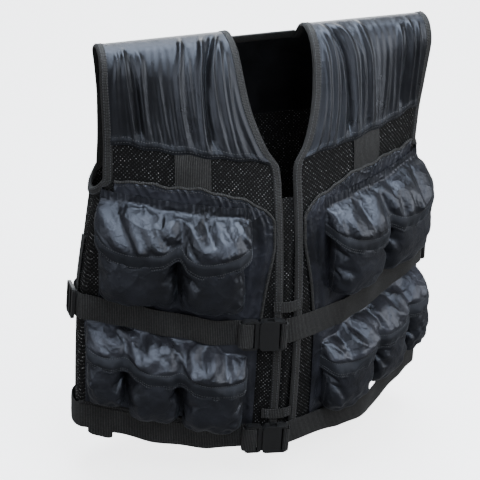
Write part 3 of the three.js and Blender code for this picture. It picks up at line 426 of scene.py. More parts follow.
def front_edge(drop: Numbers) -> np.ndarray:
    """Distance of the neck opening's and the centre front's edge from the centre line."""
    share = NECKLINE(np.asarray(drop, float) / LENGTH)
    return mix(SIZES.front_gap_half, SIZES.neck_half_width, share)


def armhole_floor(share: Numbers) -> np.ndarray:
    """Drop of the armhole's lower edge, by the share of the way from front to back."""
    return SIZES.armhole_drop + SIZES.armhole_scoop * (1 - (2 * share - 1) ** 2)


def side_hem(share: Numbers) -> np.ndarray:
    """Drop of the lower edge under the arm, by the share of the way from front to back."""
    return mix(float(FRONT_HEM(WIDTH)), SIZES.back_hem_drop, smooth(share))


@dataclass
class ClothGrid:
    """A cloth piece as rows and columns of points on its outer and inner face."""

    outer: np.ndarray
    inner: np.ndarray
    closed: bool = False
    # mask marks the hem bands, where the nylon gets more roughness, fewer crinkles and painted shade
    mask: np.ndarray | None = None

    def chart(self) -> np.ndarray:
        """Flat cloth coordinates in metres, across and along, with the mask third, which marks hem
        bands for the nylon's painted shade.

        Returns:
            Three numbers for each point.
        """
        rows, columns = self.outer.shape[:2]
        across, along = np.zeros((rows, columns)), np.zeros((rows, columns))
        steps = np.linalg.norm(np.diff(self.outer, axis=1), axis=-1)
        across[:, 1:] = np.cumsum(steps, axis=1)
        falls = np.linalg.norm(np.diff(self.outer, axis=0), axis=-1)
        along[1:, :] = np.cumsum(falls, axis=0)
        mask = np.zeros((rows, columns)) if self.mask is None else self.mask
        return np.stack([across, along, mask], axis=-1)

    def faces(self) -> list[tuple[int, int, int, int]]:
        """Quads of both faces and of the rim.

        Returns:
            Vertex numbers, four a quad.
        """
        rows, columns = self.outer.shape[:2]
        lift = rows * columns
        last = columns if self.closed else columns - 1
        quads = []
        for j in range(rows - 1):
            for i in range(last):
                a, b = j * columns + i, j * columns + (i + 1) % columns
                c, d = b + columns, a + columns
                quads += [(a, d, c, b), (a + lift, b + lift, c + lift, d + lift)]
        for i in range(last):
            a, b = i, (i + 1) % columns
            quads.append((a, b, b + lift, a + lift))
            a, b = (rows - 1) * columns + i, (rows - 1) * columns + (i + 1) % columns
            quads.append((b, a, a + lift, b + lift))
        if not self.closed:
            for j in range(rows - 1):
                a, b = j * columns, (j + 1) * columns
                quads.append((b, a, a + lift, b + lift))
                a, b = a + columns - 1, b + columns - 1
                quads.append((a, b, b + lift, a + lift))
        return quads

    def trace(self, u: Numbers, v: Numbers) -> tuple[np.ndarray, np.ndarray]:
        """Points and outward directions on the outer face.

        Args:
            u: shares along the columns.
            v: shares along the rows.

        Returns:
            Points and unit vectors.
        """
        rows, columns = self.outer.shape[:2]
        u, v = np.broadcast_arrays(np.asarray(u, float), np.asarray(v, float))
        x, y = np.clip(u, 0, 1) * (columns - 1), np.clip(v, 0, 1) * (rows - 1)
        i, j = np.minimum(x.astype(int), columns - 2), np.minimum(y.astype(int), rows - 2)
        s, t = (x - i)[..., None], (y - j)[..., None]
        corners = (self.outer[j, i], self.outer[j, i + 1], self.outer[j + 1, i],
                   self.outer[j + 1, i + 1])
        points = mix(mix(corners[0], corners[1], s), mix(corners[2], corners[3], s), t)
        out = np.cross(corners[1] - corners[0], corners[2] - corners[0])
        thick = points - mix(self.inner[j, i], self.inner[j + 1, i + 1], 0.5)
        out *= np.sign(np.sum(out * thick, axis=-1, keepdims=True))
        return points, unit(out)


def shares(columns: int, rows: int) -> tuple[np.ndarray, np.ndarray]:
    """Grids of the shares across and along a piece, rows first."""
    return np.meshgrid(np.linspace(0, 1, columns), np.linspace(0, 1, rows))


def refined(points: np.ndarray, times: int) -> np.ndarray:
    """Finer grid through the same points, on smooth curves both ways.

    Args:
        points: rows and columns of points.
        times: how many times finer.

    Returns:
        The finer grid.
    """
    for axis in (0, 1):
        line = np.moveaxis(points, axis, 0)
        spots = np.linspace(0, len(line) - 1, (len(line) - 1) * times + 1)
        i = np.minimum(spots.astype(int), len(line) - 2)
        t = (spots - i)[:, None, None]
        before, after = line[np.maximum(i - 1, 0)], line[np.minimum(i + 2, len(line) - 1)]
        start, end = line[i], line[i + 1]
        bent = (2 * start + (end - before) * t + (2 * before - 5 * start + 4 * end - after) * t ** 2
                + (3 * start - before - 3 * end + after) * t ** 3)
        points = np.moveaxis(bent / 2, 0, axis)
    return points


def added(name: str, data: bpy.types.ID) -> bpy.types.Object:
    """Makes an object and links it to the scene.

    Args:
        name: the object's name.
        data: its mesh, light or camera.

    Returns:
        The object.
    """
    made = bpy.data.objects.new(name, data)
    bpy.context.scene.collection.objects.link(made)
    return made


def shade(mesh: bpy.types.Mesh, sharp: float) -> None:
    """Smooths a mesh, but not its edges above an angle in degrees."""
    mesh.polygons.foreach_set("use_smooth", [True] * len(mesh.polygons))
    mesh.set_sharp_from_angle(angle=math.radians(sharp))


def mesh_object(name: str, points: np.ndarray, faces: Sequence[Sequence[int]],
                chart: np.ndarray | None = None, sharp: float = 50.0) -> bpy.types.Object:
    """Makes a smooth-shaded mesh object.

    Args:
        name: the object's name.
        points: vertices, one a row.
        faces: vertex numbers of each face.
        chart: flat cloth coordinates of each vertex.
        sharp: angle in degrees above which an edge stays sharp.

    Returns:
        The object, linked to the scene.
    """
    mesh = bpy.data.meshes.new(name)
    mesh.from_pydata(np.asarray(points, float).reshape(-1, 3).tolist(), [], faces)
    mesh.validate()
    turn_outward(mesh)
    if chart is not None:
        layer = mesh.attributes.new("cloth", "FLOAT_VECTOR", "POINT")
        layer.data.foreach_set("vector", np.asarray(chart, np.float32).reshape(-1))
    shade(mesh, sharp)
    return added(name, mesh)


def turn_outward(mesh: bpy.types.Mesh) -> None:
    """Flips a closed mesh whose faces look inwards.

    Args:
        mesh: the mesh.
    """
    count = len(mesh.vertices)
    points = np.empty(count * 3)
    mesh.vertices.foreach_get("co", points)
    points = points.reshape(-1, 3)
    mesh.calc_loop_triangles()
    corners = np.empty(len(mesh.loop_triangles) * 3, np.int32)
    mesh.loop_triangles.foreach_get("vertices", corners)
    a, b, c = points[corners.reshape(-1, 3)].transpose(1, 0, 2)
    if np.sum(a * np.cross(b, c)) < 0:
        mesh.flip_normals()


def operator(operation: str, reflected: bool = False) -> Callable[..., Sockets]:
    """Makes an operator of the class below.

    Args:
        operation: the Math node's operation.
        reflected: whether the other value comes first.

    Returns:
        The method.
    """
    def method(self: Sockets, *others: Sockets | float) -> Sockets:
        """Adds the Math node."""
        values = (*others, self) if reflected else (self, *others)
        return self.tree.node("ShaderNodeMath", {"operation": operation}, dict(enumerate(values)))

    return method


class Sockets:
    """A shader socket with operators, so that shader maths reads as Python."""

    __add__, __radd__ = operator("ADD"), operator("ADD", True)
    __sub__, __rsub__ = operator("SUBTRACT"), operator("SUBTRACT", True)
    __mul__, __rmul__ = operator("MULTIPLY"), operator("MULTIPLY", True)
    __truediv__, __rtruediv__ = operator("DIVIDE"), operator("DIVIDE", True)
    __pow__, __rpow__ = operator("POWER"), operator("POWER", True)
    sine, absolute, fraction = operator("SINE"), operator("ABSOLUTE"), operator("FRACT")
    least = operator("MINIMUM")

    def __init__(self, tree: Nodes, socket: bpy.types.NodeSocket) -> None:
        """Wraps a socket of a node tree."""
        self.tree, self.socket = tree, socket

    def ramp(self, low: float, high: float) -> Sockets:
        """Smooth step between two values."""
        settings = {"interpolation_type": "SMOOTHSTEP"}
        return self.tree.node("ShaderNodeMapRange", settings, {0: self, 1: low, 2: high})


class Nodes:
    """Node tree of one material."""

    def __init__(self, name: str) -> None:
        """Makes an empty material with its output.

        Args:
            name: the material's name.
        """
        self.material = bpy.data.materials.new(name)
        self.material.use_nodes = True
        self.tree = self.material.node_tree
        self.tree.nodes.clear()
        self.output = self.tree.nodes.new("ShaderNodeOutputMaterial")

    def node(self, kind: str, settings: dict[str, object], inputs: dict[int | str, object],
             output: int | str = 0) -> Sockets:
        """Adds a node.

        Args:
            kind: the node's type.
            settings: attributes, set first.
            inputs: values or sockets by input name or number.
            output: the output that is wanted.

        Returns:
            That output.
        """
        made = self.tree.nodes.new(kind)
        for key, value in settings.items():
            setattr(made, key, value)
        for key, value in inputs.items():
            if isinstance(value, Sockets):
                self.tree.links.new(value.socket, made.inputs[key])
            else:
                made.inputs[key].default_value = value
        return Sockets(self, made.outputs[output])

    def blend(self, share: Sockets, first: Sockets | Sequence[float],
              second: Sequence[float]) -> Sockets:
        """Mix of two colours by a share.

        Args:
            share: share of the second colour.
            first: a colour, or its socket.
            second: a colour.

        Returns:
            The mixed colour.
        """
        start = first if isinstance(first, Sockets) else (*first, 1.0)
        inputs = {"Factor": share, 6: start, 7: (*second, 1.0)}
        return self.node("ShaderNodeMix", {"data_type": "RGBA"}, inputs, 2)

    def noise(self, place: Sockets, scale: float, detail: float = 3.0,
              roughness: float = 0.55) -> Sockets:
        """Noise from 0 to 1 at a place."""
        inputs = {"Vector": place, "Scale": scale, "Detail": detail, "Roughness": roughness}
        return self.node("ShaderNodeTexNoise", {}, inputs)

    def cloth(self) -> Sockets:
        """Flat cloth coordinates of the piece, in metres."""
        settings = {"attribute_type": "GEOMETRY", "attribute_name": "cloth"}
        return self.node("ShaderNodeAttribute", settings, {}, "Vector")

    def place(self) -> Sockets:
        """Place in the object, in metres."""
        return self.node("ShaderNodeTexCoord", {}, {}, "Object")

    def parts(self, vector: Sockets) -> tuple[Sockets, Sockets, Sockets]:
        """X, Y and Z of a vector.

        Args:
            vector: the vector.

        Returns:
            The three sockets.
        """
        made = self.tree.nodes.new("ShaderNodeSeparateXYZ")
        self.tree.links.new(vector.socket, made.inputs[0])
        return tuple(Sockets(self, output) for output in made.outputs)

    def bump(self, height: Sockets, distance: float, strength: float = 1.0,
             under: Sockets | None = None) -> Sockets:
        """Bumped normal.

        Args:
            height: relief from 0 to 1.
            distance: real height of the relief, in metres.
            strength: how much of it shows.
            under: a normal to bump further.

        Returns:
            The normal.
        """
        inputs = {"Height": height, "Distance": distance, "Strength": strength}
        if under is not None:
            inputs["Normal"] = under
        return self.node("ShaderNodeBump", {}, inputs)

    def surface(self, inputs: dict[str, object]) -> bpy.types.Material:
        """Ends the tree in one principled surface.

        Args:
            inputs: values or sockets by input name.

        Returns:
            The finished material.
        """
        shader = self.node("ShaderNodeBsdfPrincipled", {}, inputs)
        self.tree.links.new(shader.socket, self.output.inputs["Surface"])
        return self.material


@dataclass(frozen=True)
class NylonFinish:
    """Satin nylon: near black, with a cool sheen, a fine weave and crinkles, and painted shade on its
    hem bands.
    """

    name: str
    dark: Triple = (0.0046, 0.0043, 0.0044)
    light: Triple = (0.0130, 0.0134, 0.0170)
    tint: Triple = (0.74, 0.82, 1.0)
    roughness: float = 0.37
    weave_pitch: float = 0.9 * MM
    crinkle: float = 0.5

    def material(self) -> bpy.types.Material:
        """Builds the material.

        Returns:
            The material.
        """
        nodes = Nodes(self.name)
        across, along, band = nodes.parts(nodes.cloth())
        weave = ((across * (TURN / self.weave_pitch)).sine()
                 * (along * (TURN / self.weave_pitch)).sine())
        place = nodes.place()
        cloud = nodes.noise(place, 26.0, 4.0, 0.6)
        stretch = nodes.noise(place, 9.0, 2.0)
        wide = 1.0 - ((nodes.noise(place, 30.0, 1.0) - 0.5).absolute() * 7.0).least(1.0)
        narrow = 1.0 - ((nodes.noise(place, 75.0, 2.0) - 0.5).absolute() * 6.0).least(1.0)
        loose = 1.0 - band * 0.75
        creases = (wide ** 2.0 * 0.8 + narrow ** 2.0 * 0.35 + cloud * 0.5) * loose
        colour = nodes.blend((cloud * 0.75 + stretch * 0.35).ramp(0.35, 0.75), self.dark, self.light)
        # painted shade: the hem bands of the cloth mask are blended towards the dark colour, for the
        # shade on their forward- and downward-facing cloth
        colour = nodes.blend(band * 0.9, colour, self.dark)
        rough = self.roughness + (cloud - 0.5) * 0.16 + band * 0.42
        relief = nodes.bump(creases, 1.0 * MM, self.crinkle)
        relief = nodes.bump(weave, 0.06 * MM, 0.5, relief)
        return nodes.surface({
            "Base Color": colour, "Roughness": rough, "Specular IOR Level": 0.58,
            "Specular Tint": (*self.tint, 1.0), "Sheen Weight": 0.06, "Sheen Roughness": 0.35,
            "Sheen Tint": (0.75, 0.84, 1.0, 1.0), "Normal": relief,
        })


@dataclass(frozen=True)
class AirMeshFinish:
    """Air mesh: a knitted net of diamond holes, with glints painted into its colour where its yarns
    cross.
    """

    name: str
    pitch: float = 4.9 * MM
    dark: Triple = (0.0006, 0.0006, 0.0007)
    yarn: Triple = (0.0042, 0.0042, 0.0046)
    glint: Triple = (0.42, 0.43, 0.45)
    hole: float = 0.26

    def material(self) -> bpy.types.Material:
        """Builds the material.

        Returns:
            The material.
        """
        nodes = Nodes(self.name)
        across, along, _ = nodes.parts(nodes.cloth())
        rise = across / self.pitch + along / (self.pitch * 1.1)
        fall = across / self.pitch - along / (self.pitch * 1.1)
        first = (rise.fraction() - 0.5).absolute()
        second = (fall.fraction() - 0.5).absolute()
        reach = (first * first + second * second) ** 0.5
        yarn = reach.ramp(self.hole - 0.02, self.hole + 0.06)
        far = ((0.5 - first) * (0.5 - first) + (0.5 - second) * (0.5 - second)) ** 0.5
        crossing = 1.0 - far.ramp(0.10, 0.22)
        strands = ((rise * (TURN * 4)).sine() * (fall * (TURN * 4)).sine()) * 0.5 + 0.5
        patches = nodes.noise(nodes.place(), 34.0, 3.0).ramp(0.42, 0.66)
        lone = nodes.noise(nodes.place(), 260.0, 1.0).ramp(0.45, 0.7)
        # painted highlights: the glint colour is laid on the yarn crossings, brighter in random
        # patches
        shine = crossing * (0.03 + patches * 0.55 * lone + lone * 0.45)
        colour = nodes.blend(yarn * (0.5 + strands * 0.5), self.dark, self.yarn)
        colour = nodes.blend(shine.least(1.0), colour, self.glint)
        relief = nodes.bump(yarn * 0.6 + strands * yarn * 0.15 + crossing * 0.25, 0.8 * MM, 0.8)
        return nodes.surface({
            "Base Color": colour, "Roughness": 0.72 - crossing * 0.3,
            "Specular IOR Level": 0.22, "Normal": relief,
        })


@dataclass(frozen=True)
class RibbedFinish:
    """Woven webbing or tape: ribs across its length, crossed by lengthwise yarns, with painted shade
    in the rib hollows.
    """

    name: str
    rib_pitch: float
    yarn_pitch: float
    relief: float
    dark: Triple = (0.0020, 0.0020, 0.0021)
    light: Triple = (0.0560, 0.0566, 0.0580)

    def material(self) -> bpy.types.Material:
        """Builds the material.

        Returns:
            The material.
        """
        nodes = Nodes(self.name)
        across, along, _ = nodes.parts(nodes.cloth())
        rib = (across * (TURN / self.rib_pitch)).sine() * 0.5 + 0.5
        yarn = (along * (TURN / self.yarn_pitch)).sine() * 0.5 + 0.5
        fuzz = nodes.noise(nodes.place(), 420.0, 3.0)
        wear = nodes.noise(nodes.place(), 18.0, 3.0)
        height = rib * 0.65 + yarn * rib * 0.35
        # painted shade: colour follows the rib height, crests lighter and hollows darker, mixed with
        # random fuzz and wear tone
        shade = (height * 0.75 + fuzz * 0.8 + (wear - 0.5) * 0.4).ramp(0.45, 1.35)
        relief = nodes.bump(height + fuzz * 0.25, self.relief, 0.9)
        return nodes.surface({
            "Base Color": nodes.blend(shade, self.dark, self.light),
            "Roughness": 0.74 - height * 0.14, "Specular IOR Level": 0.42,
            "Sheen Weight": 0.06, "Sheen Roughness": 0.4, "Normal": relief,
        })


@dataclass(frozen=True)
class ThreadFinish:
    """Bonded polyester thread."""

    name: str
    dark: Triple = (0.022, 0.023, 0.027)
    light: Triple = (0.070, 0.073, 0.084)

    def material(self) -> bpy.types.Material:
        """Builds the material.

        Returns:
            The material.
        """
        nodes = Nodes(self.name)
        tone = nodes.noise(nodes.place(), 300.0, 2.0)
        return nodes.surface({
            "Base Color": nodes.blend(tone, self.dark, self.light),
            "Roughness": 0.42 + tone * 0.12, "Specular IOR Level": 0.6,
        })


@dataclass(frozen=True)
class PlasticFinish:
    """Moulded acetal: satin, with a fine spark texture."""

    name: str
    dark: Triple = (0.0070, 0.0071, 0.0075)
    light: Triple = (0.0130, 0.0134, 0.0144)

    def material(self) -> bpy.types.Material:
        """Builds the material.

        Returns:
            The material.
        """
        nodes = Nodes(self.name)
        grain = nodes.noise(nodes.place(), 1600.0, 2.0)
        wear = nodes.noise(nodes.place(), 45.0, 4.0)
        relief = nodes.bump(grain, 0.05 * MM, 0.6)
        return nodes.surface({
            "Base Color": nodes.blend(wear, self.dark, self.light),
            "Roughness": 0.36 + wear * 0.16, "Specular IOR Level": 0.5, "Normal": relief,
        })


@dataclass(frozen=True)
class FloorFinish:
    """Plain pale studio floor."""

    name: str
    colour: Triple = (0.86, 0.86, 0.87)
    glow: float = 3.2

    def material(self) -> bpy.types.Material:
        """Builds the material.

        Returns:
            The material.
        """
        nodes = Nodes(self.name)
        tone = nodes.noise(nodes.place(), 2.0, 1.0)
        second = tuple(value * 0.985 for value in self.colour)
        return nodes.surface({"Base Color": nodes.blend(tone, self.colour, second),
                              "Roughness": 0.9, "Specular IOR Level": 0.1,
                              "Emission Color": (*self.colour, 1.0),
                              "Emission Strength": self.glow})


class Wardrobe:
    """All the finishes of the vest, each made once."""

    def __init__(self) -> None:
        """Makes the materials."""
        self.yoke = NylonFinish("yoke_nylon", dark=(0.0034, 0.0031, 0.0030),
                                light=(0.0090, 0.0088, 0.0098), roughness=0.30,
                                crinkle=0.22).material()
        # painted sheen: the panel nylon is a lighter, bluer copy of the nylon, standing in for its
        # sheen
        self.panel = NylonFinish("panel_nylon", light=(0.0240, 0.0250, 0.0330), roughness=0.34,
                                 crinkle=0.8).material()
        self.pocket = NylonFinish("pocket_nylon", roughness=0.42, crinkle=0.65).material()
        self.flap = NylonFinish("flap_nylon", roughness=0.31, crinkle=0.75).material()
        # painted light: the lower flaps get a lighter copy of the flap nylon, for light that the upper
        # pockets shade off them
        self.low_flap = NylonFinish("low_flap_nylon", dark=(0.0062, 0.0062, 0.0068),
                                    light=(0.0300, 0.0310, 0.0390), roughness=0.30,
                                    crinkle=0.75).material()
        # painted light: the side mesh gets brighter painted glints, standing in for glints and for the
        # pale backdrop seen through its holes
        self.side_mesh = AirMeshFinish("side_mesh_knit", glint=(0.85, 0.86, 0.88)).material()
        self.lined_mesh = AirMeshFinish("air_mesh_lined").material()
        self.webbing = RibbedFinish("webbing_weave", 2.2 * MM, 1.5 * MM, 0.5 * MM).material()
        self.tape = RibbedFinish("tape_weave", 2.0 * MM, 2.4 * MM, 0.40 * MM).material()
        self.thread = ThreadFinish("sewing_thread").material()
        self.plastic = PlasticFinish("moulded_plastic").material()


def dress(piece: bpy.types.Object, material: bpy.types.Material, slot: Slot,
          *nodes: str) -> bpy.types.Object:
    """Gives a piece its finish and its body.

    Args:
        piece: the piece.
        material: its finish.
        slot: the record's slot; not used.
        nodes: the solids that it stands for.

    Returns:
        The piece.
    """
    piece.data.materials.clear()
    piece.data.materials.append(material)
    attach(piece, "root")
    if nodes:
        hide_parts(*nodes)
    LOG.info("%s: %d faces", piece.name, len(piece.data.polygons))
    return piece


def cloth_piece(name: str, grid: ClothGrid, material: bpy.types.Material, slot: Slot,
                *nodes: str) -> bpy.types.Object:
    """Builds and dresses a cloth grid.

    Args:
        name: the piece's name.
        grid: its points.
        material: its finish.
        slot: the record's slot.
        nodes: the solids that it stands for.

    Returns:
        The piece.
    """
    chart = grid.chart().reshape(-1, 3)
    points = np.concatenate([grid.inner.reshape(-1, 3), grid.outer.reshape(-1, 3)])
    piece = mesh_object(name, points, grid.faces(), np.concatenate([chart, chart]))
    return dress(piece, material, slot, *nodes)


def sheet_piece(name: str, grid: ClothGrid, material: bpy.types.Material, slot: Slot, node: str,
                held: str, *rests_on: str) -> None:
    """Args:
        name: the piece's name.
        grid: its points.
        material: its finish.
        slot: the record's slot.
        node: the solid that it stands for.
        held: how it is held; not used.
        rests_on: what it lies on; not used.
    """
    piece = cloth_piece(name, grid, material, slot, node)
    chart = grid.chart()


@dataclass
class Stitching:
    """Collects rows of stitches and makes one piece of them."""

    name: str
    pitch: float = 3.6 * MM
    length: float = 2.7 * MM
    radius: float = 0.45 * MM

    def __post_init__(self) -> None:
        """Starts with no stitches."""
        self.points: list[np.ndarray] = []
        self.faces: list[tuple[int, ...]] = []

    def row(self, points: np.ndarray, normals: np.ndarray) -> None:
        """Adds a row of stitches along a line.

        Args:
            points: the line.
            normals: outward directions along it.
        """
        run = lengths(points)
        count = max(1, int(run[-1] / self.pitch))
        for middle in (np.arange(count) + 0.5) * run[-1] / count:
            ends = [at_lengths(middle + s * self.length / 2, run, points) for s in (-1, 1)]
            self.stitch(*ends, at_lengths(middle, run, normals))

    def rows(self, grid: ClothGrid, places: Sequence[float], ends: tuple[float, float],
             count: int, upright: bool = False) -> None:
        """Adds rows of stitches across a piece, or along it.

        Args:
            grid: the piece.
            places: where the rows lie, as shares of the piece.
            ends: where each row starts and ends, as shares.
            count: points that a row is traced with.
            upright: whether the rows run along the piece.
        """
        line = np.linspace(*ends, count)
        for place in places:
            level = np.full_like(line, place)
            self.row(*(grid.trace(level, line) if upright else grid.trace(line, level)))

    def stitch(self, start: np.ndarray, end: np.ndarray, out: np.ndarray) -> None:
        """Adds one stitch, a short rod that dips into the cloth at both ends.

        Args:
            start: one end.
            end: the other end.
            out: outward direction.
        """
        along = end - start
        size = np.linalg.norm(along)
        if size < 1e-6:
            return
        along /= size
        out = out - along * np.dot(out, along)
        out /= max(np.linalg.norm(out), 1e-9)
        wide = np.cross(along, out)
        first = sum(len(p) for p in self.points)
        sides = 5
        rings = [start - out * self.radius]
        for share in (0.22, 0.78):
            middle = mix(start, end, share) + out * self.radius * 0.4
            for k in range(sides):
                angle = TURN * k / sides
                offset = wide * math.cos(angle) + out * math.sin(angle)
                rings.append(middle + offset * self.radius)
        rings.append(end - out * self.radius)
        self.points.append(np.array(rings))
        last = first + 2 * sides + 1
        for k in range(sides):
            a, b = first + 1 + k, first + 1 + (k + 1) % sides
            self.faces.append((first, b, a))
            self.faces.append((a, b, b + sides, a + sides))
            self.faces.append((last, a + sides, b + sides))

    def piece(self, material: bpy.types.Material, slot: Slot) -> bpy.types.Object:
        """Makes the piece."""
        made = mesh_object(self.name, np.concatenate(self.points), self.faces, sharp=80.0)
        return dress(made, material, slot)


@dataclass(frozen=True)
class Inflation:
    """Settings of one cloth simulation: a sewn sheet with spare cloth, pushed out from behind."""

    spare: float
    pressure: float
    bending: float
    frames: int
    stiffness: float = 15.0
    enlarge: float = 10.0

    def run(self, points: np.ndarray, pinned: np.ndarray) -> np.ndarray:
        """Simulates a grid of points.

        Args:
            points: the sheet, rows and columns of points.
            pinned: true where the sheet is sewn down.

        Returns:
            The sheet's points afterwards.
        """
        rows, columns = points.shape[:2]
        index = np.arange(rows * columns).reshape(rows, columns)
        quads = np.stack([index[:-1, :-1], index[1:, :-1], index[1:, 1:], index[:-1, 1:]], axis=-1)
        mesh = bpy.data.meshes.new("sheet_in_work")
        mesh.from_pydata((points.reshape(-1, 3) * self.enlarge).tolist(), [],
                         quads.reshape(-1, 4).tolist())
        sheet = added("sheet_in_work", mesh)
        if np.dot(self.facing(points), self.outward(points)) < 0:
            mesh.flip_normals()
        group = sheet.vertex_groups.new(name="sewn")
        group.add(np.nonzero(pinned.reshape(-1))[0].tolist(), 1.0, "REPLACE")
        work = sheet.modifiers.new("work", "CLOTH")
        settings = {
            "vertex_group_mass": "sewn", "quality": 5, "mass": 0.3,
            "tension_stiffness": self.stiffness, "compression_stiffness": self.stiffness,
            "shear_stiffness": self.stiffness / 2, "bending_stiffness": self.bending,
            "use_pressure": True, "uniform_pressure_force": self.pressure,
            "shrink_min": -self.spare, "shrink_max": -self.spare,
        }
        for key, value in settings.items():
            setattr(work.settings, key, value)
        work.settings.effector_weights.gravity = 0.0
        work.collision_settings.use_self_collision = False
        work.point_cache.frame_start, work.point_cache.frame_end = 1, self.frames
        for number in range(1, self.frames + 1):
            bpy.context.scene.frame_set(number)
        graph = bpy.context.evaluated_depsgraph_get()
        result = sheet.evaluated_get(graph).to_mesh()
        moved = np.empty(rows * columns * 3)
        result.vertices.foreach_get("co", moved)
        sheet.evaluated_get(graph).to_mesh_clear()
        bpy.data.objects.remove(sheet)
        bpy.context.scene.frame_set(1)
        return moved.reshape(points.shape) / self.enlarge

    @staticmethod
    def facing(points: np.ndarray) -> np.ndarray:
        """Mean direction that the quads face."""
        out = np.cross(points[1:, 1:] - points[:-1, :-1], points[:-1, 1:] - points[1:, :-1])
        return out.reshape(-1, 3).mean(axis=0)

    @staticmethod
    def outward(points: np.ndarray) -> np.ndarray:
        """Direction away from the middle of the body."""
        middle = points.reshape(-1, 3).mean(axis=0)
        return np.array([middle[0], middle[1], 0.0])


def limited(start: np.ndarray, moved: np.ndarray, normals: np.ndarray, low: Numbers,
            high: Numbers, slide: float) -> np.ndarray:
    """Caps how far simulated points may move.

    Args:
        start: points before.
        moved: points after.
        normals: outward directions.
        low: least outward move, below zero.
        high: greatest outward move.
        slide: greatest move along the cloth.

    Returns:
        The capped points.
    """
    step = moved - start
    out = np.sum(step * normals, axis=-1)
    flat = step - out[..., None] * normals
    size = np.linalg.norm(flat, axis=-1, keepdims=True)
    flat *= np.tanh(size / slide) * slide / np.maximum(size, 1e-9)
    room = np.where(out > 0, high, -low)
    return start + flat + (room * np.tanh(out / room))[..., None] * normals


@dataclass(frozen=True)
class Fold:
    """A long pucker of a yoke, from its foot at the hem to its head near the ridge."""

    foot: float
    head: float
    width: float
    height: float
    low: float = 0.0
    high: float = 0.8


